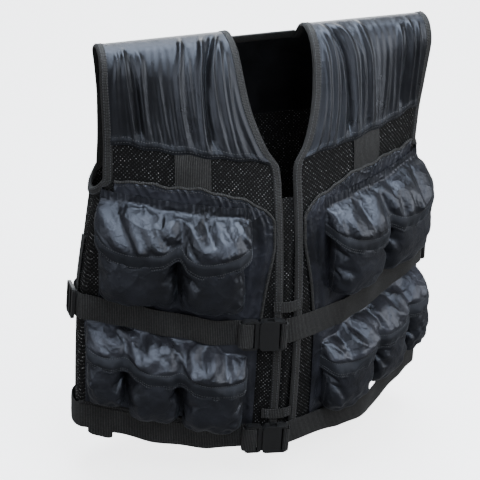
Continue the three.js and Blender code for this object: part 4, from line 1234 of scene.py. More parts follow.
@dataclass
class ShoulderYokes:
    """Gathered nylon over the shoulders and the plain nylon of the upper back."""

    wardrobe: Wardrobe
    stitching: Stitching
    columns: int = 128
    rows: int = 150
    tuck: float = 2.0 * MM
    gather_height: float = 1.0 * MM
    fold_height: float = 3.8 * MM
    hem_roll: float = 1.8 * MM

    FOLDS = (
        Fold(0.05, 0.00, 0.016, 0.7, 0, 0.50), Fold(0.12, 0.01, 0.018, 1.0, 0, 0.66),
        Fold(0.19, 0.03, 0.020, 1.1, 0, 0.86), Fold(0.26, 0.06, 0.019, 0.9, 0, 1.00),
        Fold(0.325, 0.10, 0.021, -1.4, 0.04, 0.96), Fold(0.385, 0.17, 0.025, 1.5, 0, 0.95),
        Fold(0.44, 0.27, 0.013, 0.6, 0, 0.60), Fold(0.50, 0.38, 0.023, 1.1, 0, 1.00),
        Fold(0.565, 0.50, 0.014, 0.4, 0, 0.40), Fold(0.635, 0.60, 0.013, 0.35, 0, 0.55),
        Fold(0.69, 0.66, 0.015, 0.5, 0, 0.36), Fold(0.745, 0.76, 0.021, 1.0, 0, 0.80),
        Fold(0.80, 0.82, 0.016, -0.8, 0.05, 0.78), Fold(0.85, 0.87, 0.019, 1.1, 0, 0.86),
        Fold(0.93, 0.93, 0.017, 0.8, 0, 0.82),
    )

    def pucker(self, u: np.ndarray, climb: np.ndarray, phase: float) -> np.ndarray:
        """Height of the puckers.

        Args:
            u: shares across the yoke, from the neck.
            climb: 0 at the hem and 1 at the ridge.
            phase: shifts the small folds, so that the sides differ.

        Returns:
            Heights in metres.
        """
        total = np.zeros_like(u)
        for number, fold in enumerate(self.FOLDS):
            bend = 0.010 * np.sin(6.0 * climb + 1.9 * number + phase)
            middle = mix(fold.foot, fold.head, climb) + bend
            width = fold.width * mix(1.25, 0.8, climb)
            shape = np.exp(-(((u - middle) / width) ** 2))
            ends = smooth((climb - fold.low) / 0.05) * smooth((fold.high - climb) / 0.3)
            total += fold.height * shape * ends
        height = self.fold_height * total
        ripple = np.sin(TURN * u * 31 + 2.2 * np.sin(9 * u + phase) + phase)
        gathers = smooth(1 - climb / 0.16) * smooth(climb / 0.03)
        fine = 0.35 * MM * np.sin(TURN * (u * 17 + 0.6 * climb) + phase * 2) * smooth(climb / 0.1)
        return height + self.gather_height * (0.5 + 0.5 * ripple) * gathers + fine * (1 - climb)

    def shoulder(self, side: Side) -> None:
        """Builds one shoulder yoke.

        Args:
            side: the wearer's side.
        """
        u, v = shares(self.columns, self.rows)
        guess = mix(SIZES.neck_half_width, WIDTH, u)
        wave = 1.2 * MM * np.sin(guess * 160) + 0.8 * MM * np.sin(guess * 71)
        hem = TORSO.row_at(YOKE_HEM(guess) + wave)
        signed = mix(-hem, TORSO.row_at(SIZES.back_seam_drop), v)
        drop = TORSO.drop(np.abs(signed))
        front = signed < 0
        inner = np.where(front, front_edge(drop), SIZES.neck_half_width)
        edge = np.where(front, TORSO.half(drop), TORSO.back_half(drop))
        start = inner + SIZES.neck_binding - self.tuck
        across = mix(start, edge - SIZES.arm_binding + self.tuck, u)
        climb = np.clip(1 + signed / hem, 0, 1)
        height = np.where(front, self.pucker(u, climb, 0.8 * side.value), 0.0)
        edges = smooth(u / 0.03) * smooth((1 - u) / 0.03)
        height = height * edges
        fall = climb * (YOKE_HEM(guess))
        height += self.hem_roll * np.exp(-(((fall - 3.2 * MM) / (1.6 * MM)) ** 2)) * front
        lap = np.where(front, across / TORSO.half(drop), 3 - across / TORSO.back_half(drop))
        faces = [TORSO.place(side.value, lap, drop, LAYERS.base + height + lift, face)
                 for lift in (0.0, LAYERS.top - LAYERS.base) for face in (0, 2)]
        pick = front[..., None]
        grid = ClothGrid(np.where(pick, faces[2], faces[3]), np.where(pick, faces[0], faces[1]),
                         mask=smooth(1 - v / 0.05))
        node = f"shoulder_yoke_{side.word}"
        sheet_piece(f"yoke_cloth_{side.word}", grid, self.wardrobe.yoke, Slot.NYLON, node,
                    "gathered", f"front_mesh_{side.word}")
        self.stitching.rows(grid, (0.011, 0.029), (0.02, 0.98), 220)

    def back(self) -> None:
        """Builds the nylon of the upper back."""
        u, v = shares(120, 60)
        drop = mix(SIZES.back_seam_drop - 1 * MM, SIZES.back_yoke_drop, v)
        reach = TORSO.back_half(drop) - SIZES.arm_binding + self.tuck
        across = mix(reach, -reach, u)
        ripple = 0.7 * MM * (0.5 + 0.5 * np.sin(TURN * u * 40)) * smooth(1 - v / 0.18)
        soft = 1.4 * MM * (0.5 + 0.5 * np.sin(TURN * (u * 6 + 0.25 * v))) * smooth(v * 3)
        height = LAYERS.base + ripple + soft * smooth((1 - v) * 4)
        grid = ClothGrid(TORSO.back(1, across, drop, height + LAYERS.top - LAYERS.base),
                         TORSO.back(1, across, drop, height), mask=smooth((v - 0.9) / 0.1))
        sheet_piece("back_yoke_cloth", grid, self.wardrobe.yoke, Slot.NYLON, "back_yoke",
                    "stretched", "back_mesh")
        self.stitching.rows(grid, (0.03, 0.94, 0.97), (0.01, 0.99), 400)

    def build(self) -> None:
        """Builds all three pieces."""
        for side in Side:
            self.shoulder(side)
        self.back()


@dataclass
class MeshShell:
    """The air mesh base: two fronts, two sides, the back and the placket."""

    wardrobe: Wardrobe
    seam_lap: float = 12 * MM
    tuck: float = 2.0 * MM

    def outer_edge(self, drop: np.ndarray, edge: np.ndarray) -> np.ndarray:
        """Free outer edge below the armhole, clear of its binding.

        Args:
            drop: drops below the ridge.
            edge: edges of the form.

        Returns:
            Distances from the centre line.
        """
        reach = SIZES.arm_binding - self.tuck
        below = np.clip(drop - SIZES.armhole_drop, 0, reach)
        return edge - np.sqrt(reach ** 2 - below ** 2)

    def sheet(self, node: str, lap: np.ndarray, drop: np.ndarray, side: int,
              face: int | None) -> None:
        """Builds one mesh panel.

        Args:
            node: the solid that it stands for.
            lap: laps.
            drop: drops below the ridge.
            side: sign of X.
            face: 0 front, 1 side or 2 back, or None to take it from the lap.
        """
        grid = ClothGrid(*(TORSO.place(side, lap, drop, height, face)
                           for height in (LAYERS.mesh_top, 0.0)))
        knit = self.wardrobe.side_mesh if "side" in node else self.wardrobe.lined_mesh
        sheet_piece(f"{node}_knit", grid, knit, Slot.AIR_MESH, node, "stretched")

    def build(self) -> None:
        """Builds the six panels."""
        for side in Side:
            u, v = shares(50, 70)
            guess = mix(SIZES.front_gap_half + SIZES.neck_binding, WIDTH, u)
            bottom = FRONT_HEM(guess) - SIZES.neck_binding + self.tuck
            drop = mix(YOKE_HEM(guess) - self.seam_lap, bottom, v)
            start = front_edge(drop) + SIZES.neck_binding - self.tuck
            across = mix(start, self.outer_edge(drop, TORSO.half(drop)), u)
            self.sheet(f"front_mesh_{side.word}", across / TORSO.half(drop), drop, side.value, 0)
            u, v = shares(30, 60)
            drop = mix(armhole_floor(u) + SIZES.arm_binding - self.tuck,
                       side_hem(u) - SIZES.neck_binding + self.tuck, v)
            self.sheet(f"side_mesh_{side.word}", mix(1.001, 1.999, u), drop, side.value, 1)
        u, v = shares(90, 70)
        drop = mix(SIZES.back_yoke_drop - self.seam_lap,
                   SIZES.back_hem_drop - SIZES.neck_binding + self.tuck, v)
        reach = self.outer_edge(drop, TORSO.back_half(drop))
        lap = 3 - mix(reach, -reach, u) / TORSO.back_half(drop)
        self.sheet("back_mesh", lap, drop, 1, None)
        u, v = shares(14, 60)
        across = mix(-SIZES.front_gap_half - 7 * MM, SIZES.front_gap_half + 10 * MM, u)
        drop = mix(LENGTH * 0.34, float(FRONT_HEM(0)) - 4 * MM, v)
        folds = 1.2 * MM * np.sin(TURN * (u * 1.5 + v * 2.0)) - 1.2 * MM
        outer = LAYERS.binding_back - 0.5 * MM + folds
        grid = ClothGrid(*(TORSO.place(1, across / TORSO.half(drop), drop, outer - depth)
                           for depth in (0.0, 1.0 * MM)))
        sheet_piece("placket_cloth", grid, self.wardrobe.lined_mesh, Slot.AIR_MESH,
                    "front_placket", "stretched")


@dataclass
class Bindings:
    """Ribbed tape round every edge of the shell, with its rows of stitches."""

    wardrobe: Wardrobe
    stitching: Stitching
    puff: float = 0.5 * MM

    def tape(self, name: str, node: str, place: Callable[[float, float], np.ndarray],
             closed: bool = False) -> None:
        """Builds one run of tape.

        Args:
            name: the piece's name.
            node: the solid that it stands for.
            place: gives a line of points for a share across the tape and a height.
            closed: whether the run meets itself.
        """
        across = np.linspace(0, 1, 9)
        bulge = 1 - np.abs(2 * across - 1) ** 5
        outer = mix(0.6 * MM, LAYERS.binding_front + self.puff, bulge)
        inner = mix(0.4 * MM, LAYERS.binding_back - self.puff, bulge)
        faces = [np.stack([place(share, lift) for share, lift in zip(across, heights)])
                 for heights in (outer, inner)]
        grid = ClothGrid(*faces, closed)
        cloth_piece(name, grid, self.wardrobe.tape, Slot.TAPE, node)
        self.stitching.rows(grid, (0.30, 0.80), (0, 1), grid.outer.shape[1] * 3)

    def front(self, side: Side) -> None:
        """Tape down the neckline and the centre front, and along the hem.

        Args:
            side: the wearer's side.
        """
        neck = TORSO.row_at(LENGTH * 0.3)
        back = TORSO.row_at(SIZES.back_seam_drop)
        signed = np.linspace(back, -neck, 110)
        neck_drop = TORSO.drop(np.abs(signed))
        corner = float(FRONT_HEM(SIZES.front_gap_half))
        front_drop = np.linspace(neck_drop[-1], corner, 60)[1:-1]
        hem_share = np.linspace(0, 1, 90)
        end = float(TORSO.half(FRONT_HEM(WIDTH))) - 0.5 * MM

        def place(share: float, lift: float) -> np.ndarray:
            """One line of the tape.

            Args:
                share: share across the tape.
                lift: height over the form.

            Returns:
                A row of points.
            """
            width = share * SIZES.neck_binding
            edge = np.where(signed > 0, SIZES.neck_half_width, front_edge(neck_drop)) + width
            over = TORSO.place(side.value, 3 - edge / TORSO.back_half(neck_drop), neck_drop, lift, 2)
            down = TORSO.front(side.value, edge, neck_drop, lift)
            upper = np.where((signed > 0)[:, None], over, down)
            middle = TORSO.front(side.value, SIZES.front_gap_half + width, front_drop, lift)
            mitre = width * np.clip(1 - hem_share * 8, 0, 1)
            across = mix(SIZES.front_gap_half, end, hem_share) + mitre
            lower = TORSO.front(side.value, across, FRONT_HEM(across) - width, lift)
            return np.concatenate([upper, middle, lower])

        self.tape(f"front_tape_{side.word}", f"front_edge_binding_{side.word}", place)

    def armhole(self, side: Side) -> None:
        """Tape round one armhole.

        Args:
            side: the wearer's side.
        """
        edge_steps, floor_steps = 60, 40
        down = TORSO.drop(np.linspace(0, TORSO.row_at(SIZES.armhole_drop), edge_steps))
        t = np.linspace(0, 1, floor_steps)[1:-1]
        floor = armhole_floor(t)

        def place(share: float, lift: float) -> np.ndarray:
            """One line of the tape.

            Args:
                share: share across the tape.
                lift: height over the form.

            Returns:
                A row of points.
            """
            width = share * SIZES.arm_binding
            front = TORSO.place(side.value, 1 - width / TORSO.half(down), down, lift, 0)
            ends = [TORSO.place(side.value, lap, floor, 0.0, 1) for lap in (1.0, 2.0)]
            breadth = np.linalg.norm(ends[0] - ends[1], axis=-1)
            slope = 4 * SIZES.armhole_scoop * (1 - 2 * t)
            size = np.hypot(slope, breadth)
            low = floor + width * breadth / size
            along = t * breadth - width * slope / size
            under = TORSO.place(side.value, 1 + np.clip(along / breadth, 0, 1), low, lift, 1)
            up = down[::-1]
            back = TORSO.place(side.value, 2 + width / TORSO.back_half(up), up, lift, 2)
            turn = np.linspace(0, math.pi / 2, 8)[1:-1]
            lower = SIZES.armhole_drop + width * np.sin(turn)
            near = 1 - width * np.cos(turn) / TORSO.half(lower)
            far = 2 + width * np.cos(turn[::-1]) / TORSO.back_half(lower[::-1])
            first = TORSO.place(side.value, near, lower, lift, 0)
            second = TORSO.place(side.value, far, lower[::-1], lift, 2)
            return np.concatenate([front, first, under[1:-1], second, back[:-1]])

        self.tape(f"armhole_tape_{side.word}", f"armhole_binding_{side.word}", place, closed=True)

    def back(self) -> None:
        """Tape at the back of the neck and along the hem of the sides and back."""
        line = np.linspace(-1, 1, 60) * (0.5 * MM - SIZES.neck_half_width)
        lap = np.linspace(1.002, 4.998, 260)
        t = np.clip(np.minimum(lap, 6 - lap) - 1, 0, 1)
        hem_line = side_hem(t)

        def neck(share: float, lift: float) -> np.ndarray:
            """One line of the neck's tape."""
            drop = SIZES.back_seam_drop + (share - 1) * SIZES.neck_binding
            return TORSO.back(1, line, np.full_like(line, drop), lift)

        def hem(share: float, lift: float) -> np.ndarray:
            """One line of the hem's tape."""
            return TORSO.place(1, lap, hem_line - share * SIZES.neck_binding, lift)

        self.tape("back_neck_tape", "back_neck_binding", neck)
        self.tape("back_hem_tape", "back_hem_binding", hem)

    def build(self) -> None:
        """Builds all the tapes."""
        for side in Side:
            self.front(side)
            self.armhole(side)
        self.back()


@dataclass
class PocketPanels:
    """Nylon panels that carry the pockets, with a corded edge and gathers below it."""

    wardrobe: Wardrobe
    stitching: Stitching
    cord_radius: float = 1.9 * MM
    gather_height: float = 3.6 * MM
    gather_length: float = 26 * MM
    cord_end: float = 0.350

    def wave(self, across: np.ndarray, side: Side) -> np.ndarray:
        """Waviness of the corded edge, in drop.

        Args:
            across: distances from the centre line.
            side: the wearer's side.

        Returns:
            Additions to the drop.
        """
        phase = 1.1 * side.value
        return (1.4 * MM * np.sin(across * 95 + phase) + 0.9 * MM * np.sin(across * 210 + 2 * phase)
                ) * smooth((across - 0.02) / 0.03)

    def panel(self, side: Side) -> ClothGrid:
        """Builds the nylon of one side.

        Args:
            side: the wearer's side.

        Returns:
            The panel's points.
        """
        u, v = shares(150, 96)
        v = v ** 1.6
        guess = mix(20 * MM, WIDTH - 13 * MM * (1 - v), u)
        top = PANEL_TOP(guess) + self.wave(guess, side)
        foot = mix(float(PANEL_FRONT(FRONT_HEM(0))), WIDTH, u)
        drop = mix(top, FRONT_HEM(foot) - SIZES.neck_binding - 0.5 * MM, v)
        start = np.maximum(PANEL_FRONT(drop), front_edge(drop) + SIZES.neck_binding + 0.9 * MM)
        bare = mix(2 * MM, 13 * MM, smooth((0.37 - drop) / 0.05))
        across = mix(start, TORSO.half(drop) - bare, u)
        fall = drop - top
        pitch = 8.5 * MM
        folds = np.sin(TURN * (across + 0.35 * fall) / pitch + 1.7 * np.sin(across * 55) + side.value)
        depth = 0.6 + 0.4 * np.sin(across * 140 + 2.0)
        fade = smooth(fall / (3 * MM)) * smooth((self.gather_length - fall) / self.gather_length)
        height = self.gather_height * (0.5 + 0.5 * folds) ** 1.3 * depth * fade
        inset = across - start
        edge = np.sin(TURN * drop / (11 * MM) + side.value)
        height += (1.0 * MM * np.clip(edge, 0, 1) * smooth((9 * MM - inset) / (9 * MM))
                   * smooth(inset / (2 * MM)) * smooth((0.36 - drop) / 0.02))
        for place, width, size in ((0.007, 0.0035, 1.6), (0.015, 0.0045, 2.2), (0.026, 0.004, 1.4)):
            sway = 0.0025 * np.sin(drop * 42 + place * 400)
            height += (size * MM * np.exp(-(((inset - place - sway) / width) ** 2))
                       * smooth(fall / 0.02) * smooth((1 - v) / 0.1))
        rim = TORSO.half(drop) - bare - across
        height += 1.6 * MM * np.exp(-(((rim - 2.2 * MM) / (1.6 * MM)) ** 2)) * smooth(fall / 0.01)
        grid = ClothGrid(*(TORSO.front(side.value, across, drop, level + height)
                           for level in (LAYERS.panel_top, LAYERS.panel_base)))
        sheet_piece(f"panel_cloth_{side.word}", grid, self.wardrobe.panel, Slot.NYLON,
                    f"pocket_panel_{side.word}", "gathered", f"front_mesh_{side.word}")
        return grid

    def cord(self, side: Side, grid: ClothGrid) -> None:
        """Builds the cord along the panel's top and down its front edge.

        Args:
            side: the wearer's side.
            grid: the panel's points.
        """
        rows = np.argmax(-grid.outer[:, 0, 2] > self.cord_end)
        line = np.concatenate([grid.outer[:rows, 0][::-1], grid.outer[0, 1:]])
        thick = grid.outer - grid.inner
        outward = unit(np.concatenate([thick[:rows, 0][::-1], thick[0, 1:]]))
        steps = lengths(line)
        count, sides = 260, 12
        run = np.linspace(0, steps[-1], count)
        middle, out = at_lengths(run, steps, line), at_lengths(run, steps, outward)
        wide = unit(np.cross(unit(np.gradient(middle, axis=0)), out))
        angle = np.linspace(0, TURN, sides + 1)[:-1]
        swell = self.cord_radius * (1 + 0.10 * np.sin(run / (1.6 * MM)))
        ring = (np.cos(angle)[None, :, None] * wide[:, None] + np.sin(angle)[None, :, None]
                * out[:, None])
        points = (middle + out * 0.4 * MM)[:, None] + ring * swell[:, None, None]
        ends = range(0, (count - 1) * sides, sides)
        faces = [(i + k, i + (k + 1) % sides, i + sides + (k + 1) % sides, i + sides + k)
                 for i in ends for k in range(sides)]
        faces += [tuple(range(sides)), tuple(range((count - 1) * sides, count * sides))[::-1]]
        chart = np.stack(np.broadcast_arrays(run[:, None], angle[None] * self.cord_radius, 0.0), -1)
        piece = mesh_object(f"panel_cord_{side.word}", points.reshape(-1, 3), faces,
                            chart.reshape(-1, 3))
        dress(piece, self.wardrobe.tape, Slot.TAPE)
        self.stitching.rows(grid, (0.075,), (0.04, 0.99), 300)

    def build(self) -> None:
        """Builds both panels and their cords."""
        for side in Side:
            self.cord(side, self.panel(side))


@dataclass(frozen=True)
class PocketShape:
    """Place of a pocket, in shares of the half width and of the body's length."""

    name: str
    start: float
    end: float
    bottom: float


UPPER_POCKETS = (PocketShape("inner", 0.245, 0.535, 0.584), PocketShape("outer", 0.56, 0.9, 0.57))
LOWER_POCKETS = (PocketShape("inner", 0.235, 0.515, 0.893),
                 PocketShape("middle", 0.537, 0.772, 0.872),
                 PocketShape("outer", 0.794, 0.962, 0.835))


def mid_belt(lap: Numbers) -> tuple[np.ndarray, np.ndarray]:
    """Drop and height of the mid strap's middle line.

    Args:
        lap: laps.

    Returns:
        The drops and heights.
    """
    _, lap = TORSO.folded(1, lap)
    return SIZES.mid_belt_drop - LENGTH * MID_RISE(lap), MID_HEIGHT(lap) * MM


def lower_root(across: Numbers) -> np.ndarray:
    """Root line of the lower flaps, which dips below the buckle.

    Args:
        across: distances from the centre line.

    Returns:
        The drops.
    """
    lap = np.asarray(across, float) / WIDTH
    dip = (SIZES.buckle_height - SIZES.belt_width) / 2 + 9.5 * MM
    return mid_belt(lap)[0] + SIZES.belt_width / 2 - 9 * MM + dip * smooth((0.38 - lap) / 0.07)


@dataclass(frozen=True)
class Crease:
    """One long fold of a flap from its narrow foot to its wide head, in shares across and down."""

    foot: tuple[float, float]
    head: tuple[float, float]
    width: float
    height: float

    def relief(self, u: np.ndarray, v: np.ndarray, size: tuple[float, float]) -> np.ndarray:
        """Height of the fold over a flap of a given width and length.

        Args:
            u: shares across.
            v: shares down.
            size: the flap's width and length.

        Returns:
            Heights in metres.
        """
        x, y = (u - self.foot[0]) * size[0], (v - self.foot[1]) * size[1]
        run = ((self.head[0] - self.foot[0]) * size[0], (self.head[1] - self.foot[1]) * size[1])
        along = np.clip((x * run[0] + y * run[1]) / (run[0] ** 2 + run[1] ** 2), 0, 1)
        away = np.hypot(x - along * run[0], y - along * run[1])
        tent = np.clip(1 - away / (self.width * mix(0.55, 1.15, along)), 0, 1)
        return self.height * tent * (1 - 0.35 * (2 * along - 1) ** 2)


def creases(*rows: tuple[float, ...]) -> tuple[Crease, ...]:
    """Creases from rows of foot, head, width and height, the last two in millimetres."""
    return tuple(Crease(row[:2], row[2:4], row[4] * MM, row[5] * MM) for row in rows)


UPPER_CREASES = creases(
    (0.7, 0.72, 0.95, 0.14, 17, 7), (0.74, 0.66, 0.87, 0.02, 14, -9.5),
    (0.69, 0.7, 0.8, 0.06, 13, 6.5), (0.59, 0.7, 0.73, 0.1, 14, 5), (0.5, 0.52, 0.66, 0.14, 13, 6),
    (0.5, 0.48, 0.53, 0.08, 11, 4.5), (0.56, 0.58, 0.6, 0.34, 8, -4),
    (0.16, 0.7, 0.46, 0.12, 18, 7.5), (0.26, 0.5, 0.33, 0.04, 15, -9),
    (0.12, 0.7, 0.2, 0.12, 14, 6), (0.4, 0.66, 0.43, 0.34, 9, -4.5), (0.04, 0.66, 0.08, 0.18, 9, 4),
)
LOWER_CREASES = creases(
    (0.71, 0.6, 0.94, 0.2, 15, 6), (0.86, 0.68, 0.97, 0.34, 11, 4.5),
    (0.75, 0.46, 0.85, 0.12, 11, -6), (0.68, 0.58, 0.73, 0.12, 11, 5.5),
    (0.66, 0.6, 0.54, 0.16, 14, 6.5), (0.62, 0.4, 0.64, 0.08, 9, -6),
    (0.37, 0.6, 0.51, 0.14, 14, 7), (0.45, 0.46, 0.43, 0.08, 10, -6.5),
    (0.36, 0.58, 0.33, 0.12, 11, 5.5), (0.35, 0.64, 0.13, 0.26, 15, 7.5),
    (0.28, 0.42, 0.24, 0.08, 12, -7), (0.3, 0.72, 0.05, 0.56, 11, 5), (0.1, 0.46, 0.07, 0.12, 9, 4),
)
POCKET_CREASES = creases(
    (0.06, 0.4, 0.3, 0.8, 8, -2.4), (0.05, 0.55, 0.2, 0.93, 7, 2.4),
    (0.94, 0.38, 0.74, 0.72, 9, 2.6), (0.92, 0.6, 0.8, 0.94, 8, -2.4),
    (0.15, 0.97, 0.62, 0.84, 8, 2),
)


@dataclass
class PocketRow:
    """One row of filled pockets on one side, under a single wide flap."""

    wardrobe: Wardrobe
    stitching: Stitching
    side: Side
    word: str
    shapes: tuple[PocketShape, ...]
    creases: tuple[Crease, ...]
    root: Callable[[np.ndarray], np.ndarray]
    hem: Callable[[np.ndarray], np.ndarray]
    margin: float
    tuck: float
    reach: tuple[float, float]
    pocket_height: float = 38 * MM
    clearance: float = 1.8 * MM
    end_height: float = 10 * MM
    rise: float = 44 * MM
    sag: float = 0.2
    bulge: float = 0.06
    seam: float = 1.5 * MM
    band: float = 0.64
    overlap: float = 5 * MM
    wall: float = 1.1 * MM
    curl: float = 4.0 * MM

    def pocket(self, shape: PocketShape, seed: int) -> None:
        """Builds one filled pocket from a sewn sheet that is blown up.

        Args:
            shape: its place.
            seed: starts the draws of its small dents.
        """
        columns, rows = 32, 42
        u, v = (mix(0.5 - 0.5 * np.cos(math.pi * share), share, 0.5)
                for share in shares(columns, rows))
        across = WIDTH * mix(shape.start, shape.end, u)
        centre = WIDTH * (shape.start + shape.end) / 2
        bottom = LENGTH * shape.bottom - 6 * MM * np.abs(2 * u - 1) ** 4
        drop = mix(self.root(across) + self.margin, bottom, v)
        pillow = [(1 - np.abs(2 * share - 1) ** power) ** 0.45
                  for share, power in ((u, 4.6), (v, 3.6))]
        fill = pillow[0] * pillow[1] * mix(0.86, 1, v)
        outer = LAYERS.pocket_base + self.seam + (self.pocket_height - self.seam) * fill
        under = smooth((self.hem(across) - drop) / (22 * MM))
        spot = (across / WIDTH - self.reach[0]) / (self.reach[1] - self.reach[0])
        fallen = drop - self.root(across) - self.tuck
        pressed = np.exp(-(((drop - self.hem(across)) / (12 * MM)) ** 2))
        roof = (self.flap_height(across, fallen / self.rise, spot) - 1 * MM - 8 * MM * under
                - self.curl * pressed)
        outer = np.minimum(outer, np.maximum(roof, LAYERS.pocket_base + self.seam))
        wide = across + (across - centre) * self.bulge * smooth(fill * 2)
        full = TORSO.front(self.side.value, wide, drop, outer, self.sag)
        base = TORSO.front(self.side.value, across, drop, LAYERS.pocket_base, self.sag)
        start = mix(base, full, 0.90)
        start[0], start[-1], start[:, 0], start[:, -1] = full[0], full[-1], full[:, 0], full[:, -1]
        normals = TORSO.normal(self.side.value, across / TORSO.half(drop), drop, 0)
        seeds = np.random.default_rng(seed).normal(0, 1.0 * MM, (16, 13, 1))
        noise = refined(seeds, 3)[:rows, :columns, 0]
        size = (WIDTH * (shape.end - shape.start), float(np.mean(bottom - drop[0])))
        for crease in POCKET_CREASES:
            noise = noise + crease.relief(u, v, size)
        noise = noise * smooth(fill * 2)
        start = start + normals * noise[..., None]
        pinned = np.zeros(fill.shape, bool)
        pinned[0] = pinned[-1] = True
        pinned[:, 0] = pinned[:, -1] = True
        moved = Inflation(spare=0.08, pressure=3.0, bending=5.0, frames=28).run(start, pinned)
        hidden = smooth((self.hem(across) - drop) / (14 * MM))
        room = np.linalg.norm(full - start, axis=-1) + mix(6 * MM, 0.3 * MM, hidden)
        cloth = limited(start, moved, normals, -5 * MM, room, 8 * MM)
        grid = ClothGrid(refined(cloth, 2), refined(base, 2))
        name = f"{self.word}_pocket_{shape.name}_{self.side.word}"
        piece = cloth_piece(f"{name}_cloth", grid, self.wardrobe.pocket, Slot.NYLON, name)
        self.stitching.rows(grid, (0.02, 0.98), (0.10, 0.97), 120, upright=True)

    def flap_height(self, across: np.ndarray, rise: np.ndarray, ends_at: np.ndarray) -> np.ndarray:
        """Inner height of the flap, which rises over the pockets and dips between them.

        Args:
            across: distances from the centre line.
            rise: shares of the way out from the root.
            ends_at: shares from one end to the other.

        Returns:
            Heights over the form.
        """
        climb = 1 - (1 - np.clip(rise, 0, 1)) ** 1.5
        ends = (1 - np.abs(2 * ends_at - 1) ** 7) ** 0.4
        valley = np.zeros_like(across)
        for left, right in zip(self.shapes, self.shapes[1:]):
            offset = (across / WIDTH - (left.end + right.start) / 2) / 0.036
            valley += 0.24 * np.exp(-offset * offset)
        full = self.pocket_height + self.clearance
        height = mix(self.end_height, full, ends) * climb * (1 - valley * ends)
        return LAYERS.pocket_base + 0.5 * MM + height

    def flap(self, seed: int) -> None:
        """Builds the flap from a sheet with spare cloth, sewn at its root and held at its hem.

        Args:
            seed: starts the draws of its small dents.
        """
        columns, rows = 60, 22
        u, v = shares(columns, rows)
        u = mix(u, 0.5 - 0.5 * np.cos(math.pi * u), 0.35)
        across = WIDTH * mix(self.reach[0], self.reach[1], u)
        root, hem = self.root(across), self.hem(across)
        drop = mix(root - self.overlap * (1 - v) ** 3, hem, v ** 1.05)
        fallen = drop - root - self.tuck
        inner = self.flap_height(across, fallen / self.rise, u)
        sunk = smooth(1 - (drop - root + self.overlap) / (10 * MM))
        inner = mix(inner, LAYERS.panel_top + 0.2 * MM, sunk)
        near_end = np.minimum(u, 1 - u) * WIDTH * (self.reach[1] - self.reach[0])
        inner = mix(LAYERS.panel_top + 0.3 * MM, inner, smooth(near_end / (6 * MM)))
        start = TORSO.front(self.side.value, across, drop, inner + self.wall, self.sag)
        normals = TORSO.normal(self.side.value, across / TORSO.half(drop), drop, 0)
        rng = np.random.default_rng(seed)
        relief = refined(rng.normal(0, 0.6 * MM, (7, 16, 1)), 4)[:rows, :columns, 0]
        size = (WIDTH * (self.reach[1] - self.reach[0]), float(np.mean(hem - root)))
        sway = self.side.value * 0.02
        for crease in self.creases:
            relief = relief + crease.relief(u + sway * np.sin(7 * v), v, size)
        pinned = (v > self.band) | (fallen < 1 * MM)
        pinned[:, 0] = pinned[:, -1] = True
        relief = (relief * smooth((self.band + 0.04 - v) / 0.1) * smooth(fallen / (9 * MM))
                  * smooth(near_end / (12 * MM)))
        start = start + normals * relief[..., None]
        moved = Inflation(spare=0.035, pressure=1.6, bending=10.0, frames=24).run(start, pinned)
        cloth = limited(start, moved, normals, -2.0 * MM, 3.5 * MM, 6 * MM)
        cloth = refined(cloth, 3)
        u, v = shares(*cloth.shape[1::-1])
        outward = refined(normals, 3)
        low = smooth((v - self.band) / (1 - self.band))
        phase = 2.0 * self.side.value + seed
        ripple = 0.9 * MM * np.sin(TURN * u * 9 + phase) + 0.5 * MM * np.sin(TURN * u * 17 + 2 * phase)
        roll = 0.8 * MM * np.exp(-(((v - 0.985) / 0.018) ** 2))
        ruffle = 1.5 * MM * np.abs(np.sin(TURN * u * 14 + phase + 1.5 * np.sin(TURN * u * 3)))
        ruffle = ruffle * smooth(1 - v / 0.24) * smooth(np.minimum(u, 1 - u) / 0.03)
        ruffle = ruffle * (self.tuck == 0)
        curl = low * ripple - self.curl * low ** 1.6
        cloth = cloth + outward * (curl + roll + ruffle)[..., None]
        out = np.cross(np.gradient(cloth, axis=1), np.gradient(cloth, axis=0))
        out = unit(out * np.sign(np.sum(out * outward, axis=-1, keepdims=True)))
        wall = mix(0.5 * MM, self.wall, smooth(v * 8)) + 0.7 * MM * low
        grid = ClothGrid(cloth, cloth - out * wall[..., None],
                         mask=smooth((v - self.band + 0.04) / 0.06))
        name = f"{self.word}_flap_{self.side.word}"
        # the lower flaps take the lighter copy of the nylon, painted light
        finish = self.wardrobe.flap if self.tuck == 0 else self.wardrobe.low_flap
        sheet_piece(f"{name}_cloth", grid, finish, Slot.NYLON, name, "gathered",
                    f"{self.word}_pocket_inner_{self.side.word}")
        self.stitching.rows(grid, (self.band + 0.03, 0.90, 0.955), (0.005, 0.995), 420)

    def build(self) -> None:
        """Builds the pockets and their flap."""
        first = 11 if self.side is Side.LEFT else 31
        for number, shape in enumerate(self.shapes):
            self.pocket(shape, first + number + 5 * len(self.shapes))
        self.flap(first + 50 + len(self.shapes))


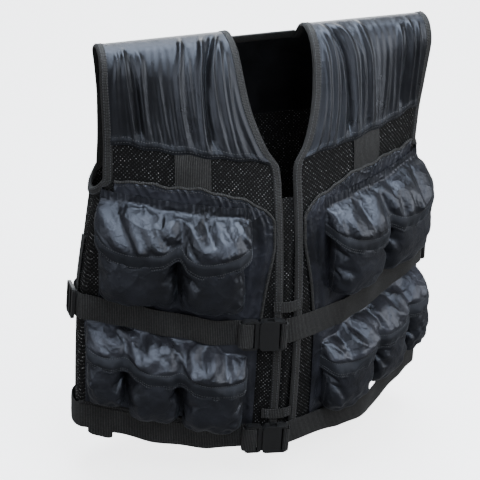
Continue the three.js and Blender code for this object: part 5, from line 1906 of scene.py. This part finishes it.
@dataclass
class Belts:
    """The two webbing belts, the strap tail and the small webbing tabs."""

    wardrobe: Wardrobe
    stitching: Stitching
    wall: float = 1.6 * MM
    strap_tuck: float = 15 * MM
    slider_lap: float = 1.42
    joint: float = 0.0005
    mid_buckle: float = -34 * MM
    lower_buckle: float = -24 * MM
    chest_inset: float = 98 * MM
    chest_width: float = 42 * MM
    tab_length: float = 38 * MM
    tab_width: float = 14 * MM
    tape_top: float = 0.25
    tape_laps: float = 0.20
    mid_tab: tuple[float, float] = (-1.5 * MM, 0.331)
    lower_tab: tuple[float, float] = (-11 * MM, 0.488)
    tail_laps: tuple[float, float] = (0.86, 0.98)
    tail_length: float = 11 * MM
    slack_drop: float = 4 * MM
    slack_height: float = 15

    def route(self, word: str, side: int, lap: np.ndarray) -> tuple[np.ndarray, np.ndarray]:
        """Drop and height of a belt's middle line.

        Args:
            word: mid or lower.
            side: sign of X.
            lap: laps.

        Returns:
            The drops and heights.
        """
        if word == "mid":
            return mid_belt(lap)
        _, folded = TORSO.folded(1, lap)
        drop = SIZES.lower_belt_drop - LENGTH * LOWER_RISE(folded)
        height = LOWER_HEIGHT(folded)
        slack = np.exp(-((lap - 0.52) / 0.2) ** 2) if side == Side.LEFT.value else 0.0 * lap
        return drop + self.slack_drop * slack, mix(height, self.slack_height, slack) * MM

    def strap(self, word: str, part: str, side: int, start: float, end: float,
              columns: int) -> None:
        """Builds one run of belt, a little wavy, with folded edges.

        Args:
            word: mid or lower.
            part: left, right or back.
            side: sign of X.
            start: first lap.
            end: last lap.
            columns: points along it.
        """
        u, v = shares(columns, 9)
        lap = mix(start, end, u)
        drop, height = self.route(word, side, lap)
        free = smooth((np.abs(lap) - 0.3) / 0.1) * smooth((0.98 - lap) / 0.1)
        wave = 1.3 * MM * np.sin(lap * 23 + side) * free
        lift = 0.7 * MM * (1 + np.sin(lap * 31 + 2 * side + 3 * v)) * free
        if word == "lower" and side == Side.RIGHT.value:
            lift = -1.3 * MM * smooth(lap / 0.2) * smooth((1.0 - lap) / 0.1)
        edge = 0.35 * MM * (np.abs(2 * v - 1) ** 4)
        level = drop + wave + (v - 0.5) * SIZES.belt_width
        inner = TORSO.place(side, lap, level, height + lift + edge)
        outer = TORSO.place(side, lap, level, height + lift + self.wall - edge)
        cloth_piece(f"{word}_webbing_{part}", ClothGrid(outer, inner), self.wardrobe.webbing,
                    Slot.WEBBING, f"{word}_strap_{part}")

    def patch(self, name: str, columns: int, rows: int, node: str,
              place: Callable[[np.ndarray, np.ndarray], tuple[np.ndarray, np.ndarray]],
              slot: Slot = Slot.WEBBING) -> ClothGrid:
        """Builds a short piece of webbing.

        Args:
            name: the piece's name.
            columns: points across.
            rows: points along.
            node: the solid that it stands for.
            place: gives the outer and inner points for the shares.
            slot: the record's slot.

        Returns:
            The piece's grid.
        """
        u, v = shares(columns, rows)
        grid = ClothGrid(*place(u, v))
        material = self.wardrobe.webbing if slot is Slot.WEBBING else self.wardrobe.tape
        cloth_piece(name, grid, material, slot, node)
        return grid

    def chest_tab(self, side: Side) -> None:
        """Upright tab on the chest mesh, sewn at both ends.

        Args:
            side: the wearer's side.
        """
        def place(u: np.ndarray, v: np.ndarray) -> tuple[np.ndarray, np.ndarray]:
            """Points of the tab.

            Args:
                u: shares across.
                v: shares down.

            Returns:
                The outer and inner points.
            """
            across = self.chest_inset + u * self.chest_width
            drop = mix(YOKE_HEM(across) - 6 * MM, PANEL_TOP(across) + 3 * MM, v)
            bow = 0.8 * MM * np.sin(math.pi * v)
            return tuple(TORSO.front(side.value, across, drop, 1.7 * MM + bow + lift)
                         for lift in (1.3 * MM, 0.0))

        self.patch(f"chest_webbing_{side.word}", 16, 24, f"chest_tab_{side.word}", place)

    def front_tab(self, word: str, middle: float, drop: float) -> None:
        """Short tab across the centre front.

        Args:
            word: mid or lower.
            middle: its middle, across.
            drop: its drop.
        """
        def place(u: np.ndarray, v: np.ndarray) -> tuple[np.ndarray, np.ndarray]:
            """Points of the tab.

            Args:
                u: shares across.
                v: shares down.

            Returns:
                The outer and inner points.
            """
            across = middle + (u - 0.5) * self.tab_length
            level = drop + (v - 0.5) * self.tab_width + 1.5 * MM * np.sin(3 * u)
            height = 3.95 * MM + 1.2 * MM * np.sin(math.pi * u)
            return tuple(TORSO.place(1, across / TORSO.half(level), level, height + lift)
                         for lift in (1.5 * MM, 0.0))

        grid = self.patch(f"{word}_front_webbing", 24, 10, f"{word}_front_tab", place)
        self.stitching.rows(grid, (0.12, 0.2, 0.8, 0.88), (0.1, 0.9), 40, upright=True)

    def side_tape(self, side: Side) -> None:
        """Narrow tape down the side to the slider.

        Args:
            side: the wearer's side.
        """
        def place(u: np.ndarray, v: np.ndarray) -> tuple[np.ndarray, np.ndarray]:
            """Points of the tape.

            Args:
                u: shares across.
                v: shares down.

            Returns:
                The outer and inner points.
            """
            drop, _ = mid_belt(self.slider_lap)
            level = mix(self.tape_top, float(drop) + SIZES.belt_width / 2, v)
            lap = self.slider_lap + (u - 0.5) * self.tape_laps
            ridge = 0.5 * MM * np.cos(TURN * u) ** 2
            return tuple(TORSO.place(side.value, lap, level, 2.5 * MM + ridge + lift, 1)
                         for lift in (1.2 * MM, 0.0))

        self.patch(f"side_ribbon_{side.word}", 12, 40, f"side_tape_{side.word}", place, Slot.TAPE)

    def tail(self) -> None:
        """End of the lower strap, which hangs below it at the wearer's right."""
        def place(u: np.ndarray, v: np.ndarray) -> tuple[np.ndarray, np.ndarray]:
            """Points of the strap's end.

            Args:
                u: shares across.
                v: shares down.

            Returns:
                The outer and inner points.
            """
            lap = mix(*self.tail_laps, u)
            drop, height = self.route("lower", -1, lap)
            corner = 4 * MM * np.abs(2 * u - 1) ** 5
            end = drop + SIZES.belt_width / 2 + self.tail_length - corner
            level = mix(drop - 6 * MM, end, v)
            return tuple(TORSO.place(-1, lap, level, height - 0.5 * MM + lift, 0)
                         for lift in (0.0, -self.wall))

        self.patch("strap_tail_webbing", 24, 24, "lower_strap_tail", place)

    def build(self) -> None:
        """Builds the belts and tabs."""
        reach = SIZES.buckle_length / 2 - self.strap_tuck
        for word, drop, middle in (("mid", SIZES.mid_belt_drop, self.mid_buckle),
                                   ("lower", SIZES.lower_belt_drop, self.lower_buckle)):
            half = float(TORSO.half(drop))
            for side in (Side.LEFT, Side.RIGHT):
                start = (side.value * middle + reach) / half
                self.strap(word, side.word, side.value, start, self.slider_lap - self.joint, 150)
            self.strap(word, "back", 1, self.slider_lap + self.joint,
                       6 - self.slider_lap - self.joint, 200)
        for side in Side:
            self.chest_tab(side)
            self.side_tape(side)
        self.front_tab("mid", *self.mid_tab)
        self.front_tab("lower", *self.lower_tab)
        self.tail()


@dataclass
class Fittings:
    """Buckles and sliders: the moulded solids, with softened edges and webbing round their bars."""

    wardrobe: Wardrobe
    bevel: float = 0.8 * MM
    sharp: float = 35.0
    webbing_wall: float = 1.5 * MM
    wrap_end: float = -2 * MM
    socket_start: float = 7 * MM
    plug_start: float = 17.8 * MM

    def mould(self, node: str) -> None:
        """Builds a moulded piece with the solid's shape and softened edges.

        Args:
            node: the solid that it stands for.
        """
        piece = added(f"{node}_moulded", frame["nodes"][node].data.copy())
        soft = piece.modifiers.new("softened", "BEVEL")
        soft.width, soft.segments, soft.limit_method = self.bevel, 3, "ANGLE"
        graph = bpy.context.evaluated_depsgraph_get()
        piece.data = bpy.data.meshes.new_from_object(piece.evaluated_get(graph))
        piece.modifiers.clear()
        shade(piece.data, self.sharp)
        dress(piece, self.wardrobe.plastic, Slot.PLASTIC, node)

    def loop(self, name: str, node: str, end: int, start: float) -> None:
        """Webbing that passes round one bar of a buckle half.

        Args:
            name: the piece's name.
            node: the buckle half.
            end: the half's outer end, as the sign of X.
            start: distance from that end to where the webbing comes up.
        """
        points = np.array([v.co for v in frame["nodes"][node].data.vertices])
        centre = (points.max(0) + points.min(0)) / 2
        axes = np.linalg.svd(points - points.mean(0), full_matrices=False)[2]
        out = axes[2] * -np.sign(axes[2][1])
        long, tall = sorted(axes[:2], key=lambda axis: -abs(axis[0]))
        long, tall = long * np.sign(long[0]), tall * np.sign(tall[2])
        basis = np.stack([long, tall, out])
        local = (points - centre) @ basis.T
        low, high = local.min(0), local.max(0)
        tip = high[0] if end > 0 else low[0]
        turn = np.linspace(0, 1, 48)
        x = tip - end * mix(start, self.wrap_end, smooth(turn))
        bow = np.sin(math.pi * turn) ** 0.3
        lift = mix(low[2] + 1.5 * MM, high[2] + self.webbing_wall * 0.6, bow)
        rows = np.linspace(-0.5, 0.5, 12)[:, None, None] * tall * (SIZES.belt_width - 1 * MM)
        middle = centre + (low[1] + high[1]) / 2 * tall
        outer = middle + x[:, None] * long + lift[:, None] * out + rows
        inward = unit(np.cross(np.gradient(outer[0], axis=0), tall))
        inward *= -np.sign(np.sum(inward[24] * out))
        inner = outer + inward * self.webbing_wall
        cloth_piece(name, ClothGrid(outer, inner), self.wardrobe.webbing, Slot.WEBBING)

    def build(self) -> None:
        """Dresses the solids and adds the webbing."""
        for word in ("mid", "lower"):
            self.mould(f"{word}_buckle_socket")
            self.mould(f"{word}_buckle_plug")
            self.loop(f"{word}_socket_loop", f"{word}_buckle_socket", 1, self.socket_start)
            self.loop(f"{word}_plug_loop", f"{word}_buckle_plug", -1, self.plug_start)
        for side in Side:
            self.mould(f"side_slider_{side.word}")


@dataclass
class Studio:
    """Pale floor, soft lights and the camera at the photograph's angle."""

    azimuth: float = -24.7685
    elevation: float = 27.0025
    roll: float = 2.9181
    distance: float = 1.9780
    target: Triple = (0.0, -0.025, -0.278)
    slide: tuple[float, float] = (-0.03035, -0.00245)
    focal_share: float = 1507.0 / 480.0
    sensor: float = 36.0
    floor_gap: float = 0.05

    def camera(self) -> None:
        """Places the camera."""
        a, e, r = (math.radians(v) for v in (self.azimuth, self.elevation, self.roll))
        back = Vector((math.sin(a) * math.cos(e), -math.cos(a) * math.cos(e), math.sin(e)))
        right = Vector((math.cos(a), math.sin(a), 0.0))
        up = back.cross(right)
        right, up = math.cos(r) * right + math.sin(r) * up, -math.sin(r) * right + math.cos(r) * up
        place = Vector(self.target) + back * self.distance + right * self.slide[0] + up * self.slide[1]
        data = bpy.data.cameras.new("camera")
        data.sensor_width, data.lens = self.sensor, self.focal_share * self.sensor
        data.clip_start, data.clip_end = 0.05, 50.0
        camera = added("camera", data)
        turn = Matrix((right, up, back)).transposed().to_4x4()
        camera.matrix_world = Matrix.Translation(place) @ turn
        bpy.context.scene.camera = camera

    def backdrop(self, name: str, corners: Sequence[Sequence[float]],
                 faces: Sequence[Sequence[int]], material: bpy.types.Material) -> None:
        """Adds a pale surface of the studio that neither shades the vest nor shows in its gloss.

        Args:
            name: the piece's name.
            corners: its corners.
            faces: corner numbers of each face.
            material: its finish.
        """
        mesh = bpy.data.meshes.new(name)
        mesh.from_pydata(corners, [], faces)
        mesh.materials.append(material)
        made = added(name, mesh)
        made.visible_glossy = made.visible_diffuse = False
        made.visible_shadow = name == "floor"

    def floor(self) -> None:
        """Lays the floor below the vest, and a pale wall far round it."""
        level = CAD_BOUNDS[0].z - self.floor_gap
        angles = [TURN * k / 48 for k in range(48)]
        ring = [(12.0 * math.cos(a), 12.0 * math.sin(a)) for a in angles]
        material = FloorFinish("floor_pale").material()
        self.backdrop("floor", [(x, y, level) for x, y in ring], [tuple(range(48))], material)
        wall = [(x, y, z) for z in (level, level + 9.0) for x, y in ring]
        faces = [(k, (k + 1) % 48, 48 + (k + 1) % 48, 48 + k) for k in range(48)]
        self.backdrop("studio_wall", wall, faces, material)

    def light(self, name: str, place: Triple, size: float, power: float,
              colour: Triple) -> None:
        """Adds a square soft light that faces the vest.

        Args:
            name: the light's name.
            place: where it hangs.
            size: its width.
            power: its power in watts.
            colour: its colour.
        """
        data = bpy.data.lights.new(name, "AREA")
        data.shape, data.size, data.energy, data.color = "SQUARE", size, power, colour
        lamp = added(name, data)
        lamp.location = place
        lamp.rotation_euler = (Vector(self.target) - Vector(place)).to_track_quat("-Z", "Y").to_euler()

    def sky(self, strength: float) -> None:
        """Pale light from all round.

        Args:
            strength: its strength.
        """
        world = bpy.data.worlds.new("studio")
        world.use_nodes = True
        ground = world.node_tree.nodes.get("Background") or world.node_tree.nodes.new(
            "ShaderNodeBackground")
        ground.inputs["Color"].default_value = (0.96, 0.97, 1.0, 1.0)
        ground.inputs["Strength"].default_value = strength
        bpy.context.scene.world = world

    def build(self) -> None:
        """Sets up the studio."""
        self.camera()
        self.floor()
        self.light("overhead", (0.1, 0.15, 1.9), 1.7, 96.0, (0.85, 0.92, 1.0))
        self.light("front", (0.1, -1.45, 1.55), 1.1, 36.0, (0.88, 0.94, 1.0))
        self.light("behind", (1.1, 2.4, 1.0), 1.8, 50.0, (0.94, 0.97, 1.0))
        self.light("key", (2.0, -1.3, 0.6), 1.4, 34.0, (1.0, 0.99, 0.97))
        self.light("fill", (-2.2, -1.2, 0.5), 1.4, 24.0, (0.97, 0.98, 1.0))
        self.sky(0.22)


def main() -> None:
    """Builds the vest and the studio."""
    logging.basicConfig(level=logging.INFO, format="%(name)s: %(message)s")
    Studio().build()
    wardrobe = Wardrobe()
    seams = Stitching("seam_stitching")
    pocket_seams = Stitching("pocket_stitching", pitch=3.2 * MM, length=2.4 * MM,
                             radius=0.38 * MM)
    ShoulderYokes(wardrobe, seams).build()
    MeshShell(wardrobe).build()
    Bindings(wardrobe, seams).build()
    PocketPanels(wardrobe, seams).build()
    for side in Side:
        PocketRow(wardrobe, pocket_seams, side, "upper", UPPER_POCKETS, UPPER_CREASES,
                  UPPER_ROOT, UPPER_HEM, 14 * MM, 0.0, (0.2, 0.925), overlap=12 * MM).build()
        PocketRow(wardrobe, pocket_seams, side, "lower", LOWER_POCKETS, LOWER_CREASES,
                  lower_root, LOWER_HEM, 23 * MM, 10 * MM, (0.2, 0.985), rise=36 * MM).build()
    Belts(wardrobe, seams).build()
    Fittings(wardrobe).build()
    seams.piece(wardrobe.thread, Slot.TAPE)
    pocket_seams.piece(wardrobe.thread, Slot.NYLON)
    triangles = sum(len(face.vertices) - 2 for piece in bpy.data.objects
                    if piece.type == "MESH" and not piece.hide_render for face in piece.data.polygons)
    LOG.info("%d triangles in all", triangles)


if __name__ == "__main__":
    main()
